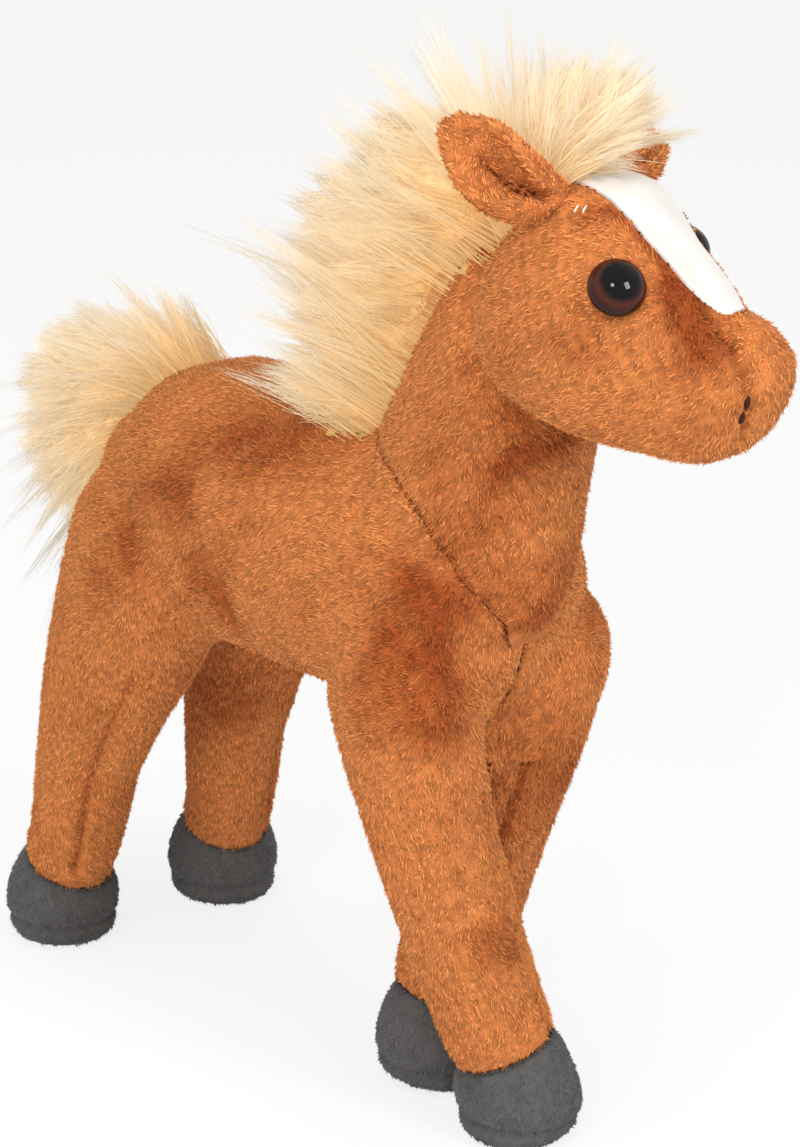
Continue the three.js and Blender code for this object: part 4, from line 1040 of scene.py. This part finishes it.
forelockFront = {"edge": -5, "lean": 0.8, "above": 31}
tailEnd = {"behind": -66, "drawnIn": 0.2}


def forelockShape(points):  # its front leans ahead and leaves the top of the blaze free
    local = inHead(points)
    edge = forelockFront["edge"] + forelockFront["lean"] * past(local[:, 2], forelockFront["above"])
    local[:, 0] = np.minimum(local[:, 0], edge)
    return fromHead(local)


def tailShape(points):  # the dense part ends before the wisps do
    points[:, 0] += tailEnd["drawnIn"] * shortOf(points[:, 0], tailEnd["behind"])
    return points


# Roots and tips from the withers to the poll, each x and z in mm
maneGuides = [
    [(14, 183), (-12, 171)], [(18, 186), (-42, 180)], [(23, 190), (-4, 188)], [(29, 196), (-8, 202)],
    [(36, 206), (-12, 213)], [(43, 216), (-13, 222)], [(49, 224), (-9, 231)], [(55, 232), (-1, 240)],
    [(60, 241), (8, 252)], [(65, 249), (16, 260)], [(70, 255), (28, 268)], [(76, 259), (40, 279)],
    [(82, 262), (52, 287)],
]
maneFur = {
    "seed": 3, "clumps": 150, "hairs": 28, "rings": 4, "reach": (0.7, 1.3), "rootSpread": 2.3,
    "tipSpread": 0.35, "clumpSpread": (5.2, 4.0, 5.2), "halfRoot": 14, "halfTip": 16,
    "sideShift": (10.0, -6.0), "radius": 0.13, "wave": 0.9, "lift": 4.0, "stray": 0.05, "strayTip": 4.0,
    "coatClumps": 520, "coatHairs": 15, "coatLength": (10, 19), "unruly": 0.14,
}
wisps = {
    "clumps": 34, "hairs": 18, "reach": (1.0, 1.26), "clumpSpread": (6, 6, 5), "tipSpread": 0.3,
    "rootSpread": 1.6,
}
wispSeedStep = 30
highest = 304.5  # mm; the part's room ends a little above
forelockGuides = [
    [(-30, 26), (-34, 55)], [(-24, 28), (-26, 59)], [(-18, 30), (-16, 57)], [(-13, 31), (-7, 56)],
    [(-9, 31), (2, 56)], [(-8, 31), (8, 51)], [(-7, 31), (14, 48)], [(-6, 31), (14, 41)],
]
forelockFur = dict(
    maneFur, seed=4, clumps=100, halfRoot=11, halfTip=13, sideShift=(-1.0, -2.0), clumpSpread=(4, 4, 3),
    coatClumps=380, coatLength=(9, 15))
tailGuides = [
    [(-57, 184), (-78, 191)], [(-60, 183), (-87, 200)], [(-64, 181), (-103, 188)],
    [(-68, 178), (-113, 178)], [(-71, 174), (-126, 161)], [(-74, 170), (-136, 144)],
    [(-77, 164), (-140, 127)], [(-79, 158), (-128, 112)], [(-80, 154), (-121, 104)],
    [(-80, 151), (-115, 97)], [(-80, 148), (-110, 95)], [(-80, 145), (-106, 100)],
    [(-79, 141), (-99, 108)],
]
tailFur = dict(maneFur, seed=5, clumps=140, halfRoot=8, halfTip=14, sideShift=(2.0, -1.0), lift=7.0)
straight = (lambda points: points, np.eye(3), lambda points: points)
turnedHead = (inHead, headArray[:3, :3], fromHead)
furPieces = {  # nodes, skin under it, guides, fur, its plane, how much the core shrinks, and the core's shape
    "mane": (["mane_fur", "mane_backing"], torsoTree, maneGuides, maneFur, straight, 1.2, None),
    "forelock": (["forelock_fur"], headTree, forelockGuides, forelockFur, turnedHead, 1.8, forelockShape),
    "tail": (["tail_fur", "tail_tape"], torsoTree, tailGuides, tailFur, straight, 2.0, tailShape),
}
for part, (nodes, skinTree, guides, fur, (toPlane, turned, place), shrink, shape) in furPieces.items():
    core = furCore(f"{part}_core", nodes[0], shrink, shape, guides, toPlane, turned)
    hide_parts(*nodes)
    wispFur = dict(fur, **wisps, seed=fur["seed"] + wispSeedStep)
    pieces = [
        core,
        growLocks(f"{part}_locks", guides, fur, skinTree, place),
        growLocks(f"{part}_wisps", guides, wispFur, skinTree, place),
        growCoat(f"{part}_coat_0", core, guides, fur, toPlane, turned),
    ]
    for piece in pieces:
        if part == "forelock":
            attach(piece, "head")
        elif part == "mane":
            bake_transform(piece)
        else:
            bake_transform(piece)
furTree = KDTree(sum(len(roots) for roots in furRoots))
for number, root in enumerate(np.concatenate(furRoots)):
    furTree.insert(root * mm, number)
furTree.balance()

# The torso, neck and belly pieces

print("stage: sewn body pieces")
# An outline in x and z, raised along y
sideways = Matrix(((1, 0, 0, 0), (0, 0, -1, 0), (0, 1, 0, 0), (0, 0, 0, 1)))
cuts = {  # mm; neighbours lap under each other by neckLap and bellyScale, so that no seam gapes
    "neckLap": 0.6, "bellyScale": (1.03, 1.05, 1), "beside": 90, "under": 60,
    "ahead": [(105, 128), (170, 200), (150, 320), (0, 320)], "blaze": (-4, 70),
}
neckCutter = prism("neckCutter", neckSeam + cuts["ahead"], -cuts["beside"], cuts["beside"], sideways)
rear, front, half, top = (bellySeam[key] for key in ("rear", "front", "half", "top"))
bellyOutline = [(rear, cuts["under"]), (front, cuts["under"]), (front, top), (rear, top)]
bellyCutter = prism("bellyCutter", bellyOutline, -half - middleY, half - middleY, sideways)
slicePlane(torsoSkin, (0, 0, legSizes["torsoEnd"]), (0, 0, 1))
neck = copyOf(torsoSkin, "neck_plush")
neckCutter.location = Vector((-cuts["neckLap"], 0, -cuts["neckLap"])) * mm
cutWith(neck, neckCutter, "INTERSECT")
neckCutter.location = (0, 0, 0)
cutWith(torsoSkin, neckCutter, "DIFFERENCE")
belly = copyOf(torsoSkin, "belly_plush")
bellyCutter.scale = cuts["bellyScale"]
cutWith(belly, bellyCutter, "INTERSECT")
bellyCutter.scale = (1, 1, 1)
cutWith(torsoSkin, bellyCutter, "DIFFERENCE")
bodyPieces = []
for side, way, nodes in (("right", -1, ["side_panel_right", "body_stuffing"]),
                         ("left", 1, ["side_panel_left"])):
    half = copyOf(torsoSkin, f"side_{side}_plush")
    slicePlane(half, (0, middleY, 0), (0, way, 0))
    bodyPieces.append((half, nodes))
bodyPieces += [(belly, ["belly_gusset"]), (neck, ["neck_cover", "neck_stuffing"])]
discard(neckCutter, bellyCutter, torsoSkin)
for obj, nodes in bodyPieces:
    finishSkin(obj, torsoTree, bodySeamDistance, brownPlush)
    if obj is neck:
        tuckUnder(obj, headTree)
    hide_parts(*nodes)
    pile = growPile(obj.name.replace("plush", "pile"), obj, bodyPile, combBody, bodySeamDistance, brownPlush)
    for part in (obj, pile):
        if obj is neck:
            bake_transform(part)
        else:
            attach(part, "torso")

# The legs and hooves

print("stage: legs and hooves")
for leg in legNames:
    body = f"{leg}_leg"
    skin = legSkins[leg]
    tree = treeOf(skin)
    upper, lower = (legCentre(leg, z) for z in legSizes["ankleLine"])
    down = unit(lower - upper)
    seamPoint = legCentre(leg, legSizes["ankle"]) + down * legSizes["hoofBelow"]
    legSkin = copyOf(skin, f"{leg}_leg_plush")
    slicePlane(legSkin, seamPoint, -down)
    slicePlane(legSkin, (0, 0, 0), (0, 0, 1))
    slicePlane(legSkin, (0, 0, legSizes["top"]), (0, 0, 1), keep="before")
    hoof = copyOf(skin, f"{leg}_hoof_plush")
    slicePlane(hoof, seamPoint - down * legSizes["hoofLap"], down)
    discard(skin)

    def ankleDistance(points, seamPoint=seamPoint, down=down):
        return np.abs((points - seamPoint) @ down) + shallower["ankle"]

    def legDistance(points, seams=legSeams[leg], ankle=ankleDistance):
        return np.minimum.reduce([ankle(points), *[lineDistance(points, line) for line in seams]])

    def hoofDistance(points, ankle=ankleDistance):
        return np.minimum(ankle(points), np.abs(points[:, 2] - legSizes["soleSeam"]) + shallower["sole"])

    finishSkin(legSkin, tree, legDistance, brownPlush)
    finishSkin(hoof, tree, hoofDistance, greyPlush)
    legPile = growPile(f"{leg}_leg_pile", legSkin, bodyPile, combLeg, legDistance, brownPlush)
    hoofPile = growPile(f"{leg}_hoof_pile", hoof, shortPile, combLeg, hoofDistance, greyPlush)
    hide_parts(f"{leg}_leg_cover", f"{leg}_leg_stuffing")
    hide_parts(f"{leg}_hoof_cover", f"{leg}_hoof_sole")
    for part in (legSkin, legPile):
        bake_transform(part)
    for part in (hoof, hoofPile):
        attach(part, body)

# The head, its blaze, eyes and nostrils

print("stage: head")
outline = blazeFar + [(x, -y) for x, y in reversed(blazeNear[:-1])]
blazeCutter = prism("blazeCutter", outline, *cuts["blaze"], headFrame)
blaze = copyOf(headSkin, "blaze_plush")
cutWith(blaze, blazeCutter, "INTERSECT")
headPieces = []
for side, way, nodes in (("right", -1, ["head_panel_right", "head_stuffing"]),
                         ("left", 1, ["head_panel_left"])):
    half = copyOf(headSkin, f"head_{side}_plush")
    slicePlane(half, headOrigin / mm, headSide * way)
    cutWith(half, blazeCutter, "DIFFERENCE")
    headPieces.append((half, nodes))
discard(blazeCutter, headSkin)
for obj, nodes in headPieces:
    finishSkin(obj, headTree, headSeamDistance, brownPlush)
    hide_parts(*nodes)
    pile = growPile(obj.name.replace("plush", "pile"), obj, bodyPile, combHead, headSeamDistance, brownPlush)
    for part in (obj, pile):
        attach(part, "head")
finishSkin(blaze, headTree, headSeamDistance, whitePlush, groove["blazeDepth"])
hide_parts("blaze_gusset")
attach(blaze, "head")

eyeSizes = {"radius": 7.0, "height": 5.5, "sunk": 1.2, "deeper": {"right": 0.0, "left": 2.6}}
for side in ("right", "left"):
    washer = np.unique(np.round(pointsOf(frame["nodes"][f"eye_washer_{side}"]), 2), axis=0).mean(0)
    button = pointsOf(frame["nodes"][f"eye_{side}"])
    pole = button[np.argmax(np.linalg.norm(button - washer, axis=1))]
    look = Vector(unit(pole - washer))
    seat = Vector(pole) - look * (eyeSizes["height"] + eyeSizes["deeper"][side])
    bpy.ops.mesh.primitive_uv_sphere_add(
        segments=64, ring_count=32, radius=mm, location=seat * mm,
        rotation=look.to_track_quat("Z", "Y").to_euler(),
        scale=(eyeSizes["radius"], eyeSizes["radius"], eyeSizes["height"]))
    eye = bpy.context.view_layer.objects.active
    eye.name = eye.data.name = f"eye_{side}_dome"
    applyPlace(eye)
    slicePlane(eye, seat - look * eyeSizes["sunk"], look)
    points = pointsOf(eye) - np.array(seat)
    away = np.linalg.norm(points - (points @ np.array(look))[:, None] * np.array(look), axis=1)
    setAttribute(eye.data, "reach", away / eyeSizes["radius"])
    eye.data.materials.append(eyePlastic)
    smoothShade(eye, 60)
    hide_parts(f"eye_{side}", f"eye_washer_{side}")
    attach(eye, "head")

# Middles of the stitches as x and z in the head's frame; the aim finds them on the skin from inside
nostrilSizes = {"places": ((44.2, -16.5), (43.0, -20.0)), "thick": 0.75, "long": 3.6, "raised": 1.4,
                "inside": (12, 3.0), "outside": 13.8, "slant": 0.25}
endSizes = {"places": (3.0, 4.9), "thick": 0.24, "long": 2.3, "raised": 2.2,
            "inside": (-5.0, 12), "outside": (-15.5, 22.5), "towards": (-12.5, 30)}
threadShape = {"steps": 6, "sides": 8, "bow": 0.35, "sunk": 0.1, "blunt": 0.12}


def stitch(name, middle, direction, normal, length, thick, material):  # a short bowed thread
    steps, sides = threadShape["steps"], threadShape["sides"]
    side = np.cross(normal, direction)
    points = []
    for k in range(steps + 1):
        share = k / steps
        rise = threadShape["bow"] * length * share * (1 - share) - threadShape["sunk"]
        centre = middle + direction * (share - 0.5) * length + normal * rise
        blunt = threadShape["blunt"]
        radius = thick * math.sin(math.pi * (blunt + (1 - 2 * blunt) * share))
        for i in range(sides):
            angle = 2 * math.pi * i / sides
            points.append(centre + radius * (math.cos(angle) * side + math.sin(angle) * normal))
    faces = []
    for k in range(steps):
        for i in range(sides):
            after = (i + 1) % sides
            low, high = k * sides, (k + 1) * sides
            faces.append((low + i, low + after, high + after, high + i))
    faces += [tuple(range(sides))[::-1], tuple(range(steps * sides, (steps + 1) * sides))]
    obj = meshObject(name, np.array(points) * mm, faces)
    editMesh(obj, lambda: bpy.ops.mesh.normals_make_consistent(inside=False))
    smoothShade(obj, 60)
    obj.data.materials.append(material)
    return obj


for side, sign in (("right", -1), ("left", 1)):
    parts = []
    back, inward = nostrilSizes["inside"]
    for number, (x, z) in enumerate(nostrilSizes["places"]):
        start = fromHead((x - back, sign * inward, z))
        aim = fromHead((x, sign * nostrilSizes["outside"], z)) - start
        place, normal = surfacePoint(headTree, start, aim)
        up = unit(np.array([nostrilSizes["slant"], 0, 1.0]) - normal * normal[2])
        parts.append(stitch(f"thread_{side}_{number}", place + normal * nostrilSizes["raised"], up, normal,
                            nostrilSizes["long"], nostrilSizes["thick"], darkThread))
    nostril = joined(f"nostril_{side}_thread", *parts)
    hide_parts(f"nostril_stitch_{side}")
    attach(nostril, "head")

threadEnds = []
for number, x in enumerate(endSizes["places"]):  # two loose ends of the blaze's white sewing thread
    start, aim = (fromHead((x, *endSizes[key])) for key in ("inside", "outside"))
    place, normal = surfacePoint(headTree, start, aim - start)
    way = unit(fromHead((x + 1, *endSizes["towards"])) - place)
    threadEnds.append(stitch(f"thread_end_{number}", place + normal * endSizes["raised"], way, normal,
                             endSizes["long"], endSizes["thick"], paleThread))
threadEnds = joined("blaze_thread_ends", *threadEnds)
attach(threadEnds, "head")

# The ears: one cloth folded along its middle, pinched at the root

print("stage: ears")
earSizes = {
    "rows": 26, "columns": 30, "thickness": 3.4, "pile": 0.7, "flat": 0.55, "rise": 5.0, "beyond": 1.5,
    "below": 1, "leastRadius": 0.6, "voxel": 0.8, "rounds": 5, "bend": (-1.5, 5),
}
# Along the ear from root to tip: half-width, shift of its middle, and half of its turn in degrees
earWidth = [
    (0.0, 2.9), (0.11, 6.7), (0.25, 9.3), (0.5, 10.6), (0.72, 10.2), (0.9, 7.2), (0.97, 4.8), (1.0, 3.2),
]
earMiddle = [(0.0, 0), (0.11, -2.6), (0.25, -3.6), (0.5, -2.9), (0.72, -1.2), (0.9, 0.3), (1.0, 1.2)]
earFold = [(0.0, 172), (0.3, 160), (0.48, 140), (0.62, 105), (0.8, 72), (1.0, 55)]


def valueAt(table, at):
    keys, values = zip(*table)
    return float(np.interp(at, keys, values))


earPile = dict(bodyPile, length=1.6, lean=24)
farEar = {"shift": (0, 4, 0), "reach": (-14, 19, 14)}  # it hangs lower and further out than the near one
# Where the hollows look, in the head frame
earFacing = {"right": (0.412, -0.8445, 0.342), "left": (0.85, 0.1, 0.5)}
earCrease = {"along": (0.16, 0.3, 0.45, 0.62), "behind": 2, "depth": 2.6, "width": 1.5}


def noSeam(points):
    return np.full(len(points), np.inf)


for side in ("right", "left"):
    joint = next(j for j in frame["joints"] if j["name"] == f"ear_{side}_flop")
    root = np.array(joint["pos_m"]) / mm
    cloth = pointsOf(frame["nodes"][f"ear_back_{side}"])
    tip = cloth[np.argmax(np.linalg.norm(cloth - root, axis=1))]
    start = root + np.array([0, 0, earSizes["rise"]])
    if side == "left":
        start = start + np.array(farEar["shift"])
        tip = start + np.array(farEar["reach"])
    lean = unit(tip - start)
    long = np.linalg.norm(tip - start) + earSizes["beyond"]
    facing = headArray[:3, :3] @ np.array(earFacing[side])
    facing = unit(facing - lean * (facing @ lean))
    across = np.cross(lean, facing)
    across = across * np.sign(across[2])
    rows, columns = earSizes["rows"], earSizes["columns"]
    points = []
    for r in range(rows + 1):
        up = r / rows
        turn = math.radians(valueAt(earFold, up))
        half = valueAt(earWidth, up) - earSizes["thickness"] / 2 - earSizes["pile"]
        radius = max(half, earSizes["leastRadius"]) / (math.sin(turn) if turn < math.pi / 2 else 1)
        deep = earSizes["flat"] * radius
        spine = start + lean * (up * long - earSizes["below"])
        for c in range(columns + 1):
            angle = (2 * c / columns - 1) * turn
            sidestep = valueAt(earMiddle, up) + radius * math.sin(angle)
            points.append(spine + across * sidestep + facing * (deep * (1 - math.cos(angle)) - deep))
    faces = []
    for r in range(rows):
        for c in range(columns):
            corner, above = r * (columns + 1) + c, (r + 1) * (columns + 1) + c
            faces.append((corner, corner + 1, above + 1, above))
    ear = meshObject(f"ear_{side}_plush", np.array(points) * mm, faces)
    useModifier(ear, "SOLIDIFY", thickness=earSizes["thickness"] * mm, offset=0)
    remesh(ear, earSizes["voxel"])
    smooth(ear, earSizes["rounds"])
    dressSkin(ear, brownPlush)
    crease = [start + lean * (up * long - earSizes["below"]) + across * valueAt(earMiddle, up)
              - facing * earCrease["behind"] for up in earCrease["along"]]

    def creaseDistance(points, crease=crease):
        return lineDistance(points, crease)

    def combEar(points, lean=lean):
        return np.tile(lean, (len(points), 1))

    pressSeams(ear, creaseDistance, earCrease["depth"], earCrease["width"])
    smoothShade(ear)
    pile = growPile(f"ear_{side}_pile", ear, earPile, combEar, noSeam, brownPlush)
    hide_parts(f"ear_back_{side}", f"ear_lining_{side}")
    for part in (ear, pile):
        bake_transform(part)

# Studio: pale floor, white backdrop, soft lamps, camera

print("stage: studio")
studio = {"floorSize": 14.0, "world": 0.45, "floorGlow": 0.8, "aim": (0.0, 0.0, 0.15)}
lamps = {  # azimuth, elevation, distance in m, size in m, watts, and whether the eyes may mirror it
    "keySoftbox": (95, 32, 1.4, (0.32, 0.42), 8.4, True),
    "topSoftbox": (20, 78, 1.5, (1.2, 1.2), 9.0, False),
    "fillSoftbox": (20, 18, 1.6, (0.9, 0.9), 10.2, False),
    "smallLamp": (48, 39, 0.9, (0.13, 0.13), 1.5, True),
}


def towards(azimuth, elevation):  # from the toy to a lamp or the camera
    a, e = math.radians(azimuth), math.radians(elevation)
    return Vector((math.sin(a) * math.cos(e), -math.cos(a) * math.cos(e), math.sin(e)))


def seenRays(tree, *kinds):  # 1 for these kinds of rays
    rays = addNode(tree, "ShaderNodeLightPath").outputs
    seen = rays[kinds[0]]
    for kind in kinds[1:]:
        seen = addNode(tree, "ShaderNodeMath", {0: seen, 1: rays[kind]}, operation="MAXIMUM").outputs[0]
    return seen


for name, (azimuth, elevation, distance, size, power, mirrors) in lamps.items():
    back = towards(azimuth, elevation)
    bpy.ops.object.light_add(type="AREA", location=Vector(studio["aim"]) + back * distance,
                             rotation=back.to_track_quat("Z", "Y").to_euler())
    lamp = bpy.context.view_layer.objects.active
    lamp.name = name
    lamp.data.shape, lamp.data.size, lamp.data.size_y, lamp.data.energy = "RECTANGLE", *size, power
    lamp.visible_glossy = mirrors

world = bpy.data.worlds.new("studioWorld")
bpy.context.scene.world = world
world.use_nodes = True
tree = world.node_tree
tree.nodes["Background"].inputs["Color"].default_value = (1, 1, 1, 1)
seen = seenRays(tree, "Is Camera Ray", "Is Glossy Ray", "Is Transmission Ray")
strength = addNode(tree, "ShaderNodeMapRange", {"Value": seen, "To Min": studio["world"], "To Max": 1.0})
tree.links.new(strength.outputs[0], tree.nodes["Background"].inputs["Strength"])

bpy.ops.mesh.primitive_plane_add(size=studio["floorSize"], location=(0, 0, 0))
floor = bpy.context.view_layer.objects.active
floor.name = "studio_floor"
floorMaterial, tree, shader = newMaterial("paintedStudioFloor", 0.9, **{"Base Color": colour("F4F4F3")})
glow = addNode(tree, "ShaderNodeEmission", {"Color": (1, 1, 1, 1), "Strength": 1.0})
seen = seenRays(tree, "Is Camera Ray", "Is Glossy Ray")
soft = addNode(tree, "ShaderNodeMath", {0: seen, 1: studio["floorGlow"]}, operation="MULTIPLY")
both = addNode(tree, "ShaderNodeMixShader", {0: soft.outputs[0], 1: shader.outputs[0], 2: glow.outputs[0]})
tree.links.new(both.outputs[0], tree.nodes["Material Output"].inputs["Surface"])
floor.data.materials.append(floorMaterial)

cameraView = {
    "azimuth": 50, "elevation": 20, "distance": 850, "target": (31.9, 0.5, 144), "lens": 100.04, "sensor": 36,
}
back = towards(cameraView["azimuth"], cameraView["elevation"])
bpy.ops.object.camera_add(
    location=(Vector(cameraView["target"]) + back * cameraView["distance"]) * mm,
    rotation=back.to_track_quat("Z", "Y").to_euler())
camera = bpy.context.view_layer.objects.active
camera.data.lens = cameraView["lens"]
camera.data.sensor_fit = "VERTICAL"
camera.data.sensor_height = cameraView["sensor"]
camera.data.sensor_width = cameraView["sensor"]
bpy.context.scene.camera = camera
bpy.context.scene.view_settings.view_transform = "Standard"

for node in frame["nodes"].values():
    if not node.hide_render:
        print("  CAD node still shown:", node.name)
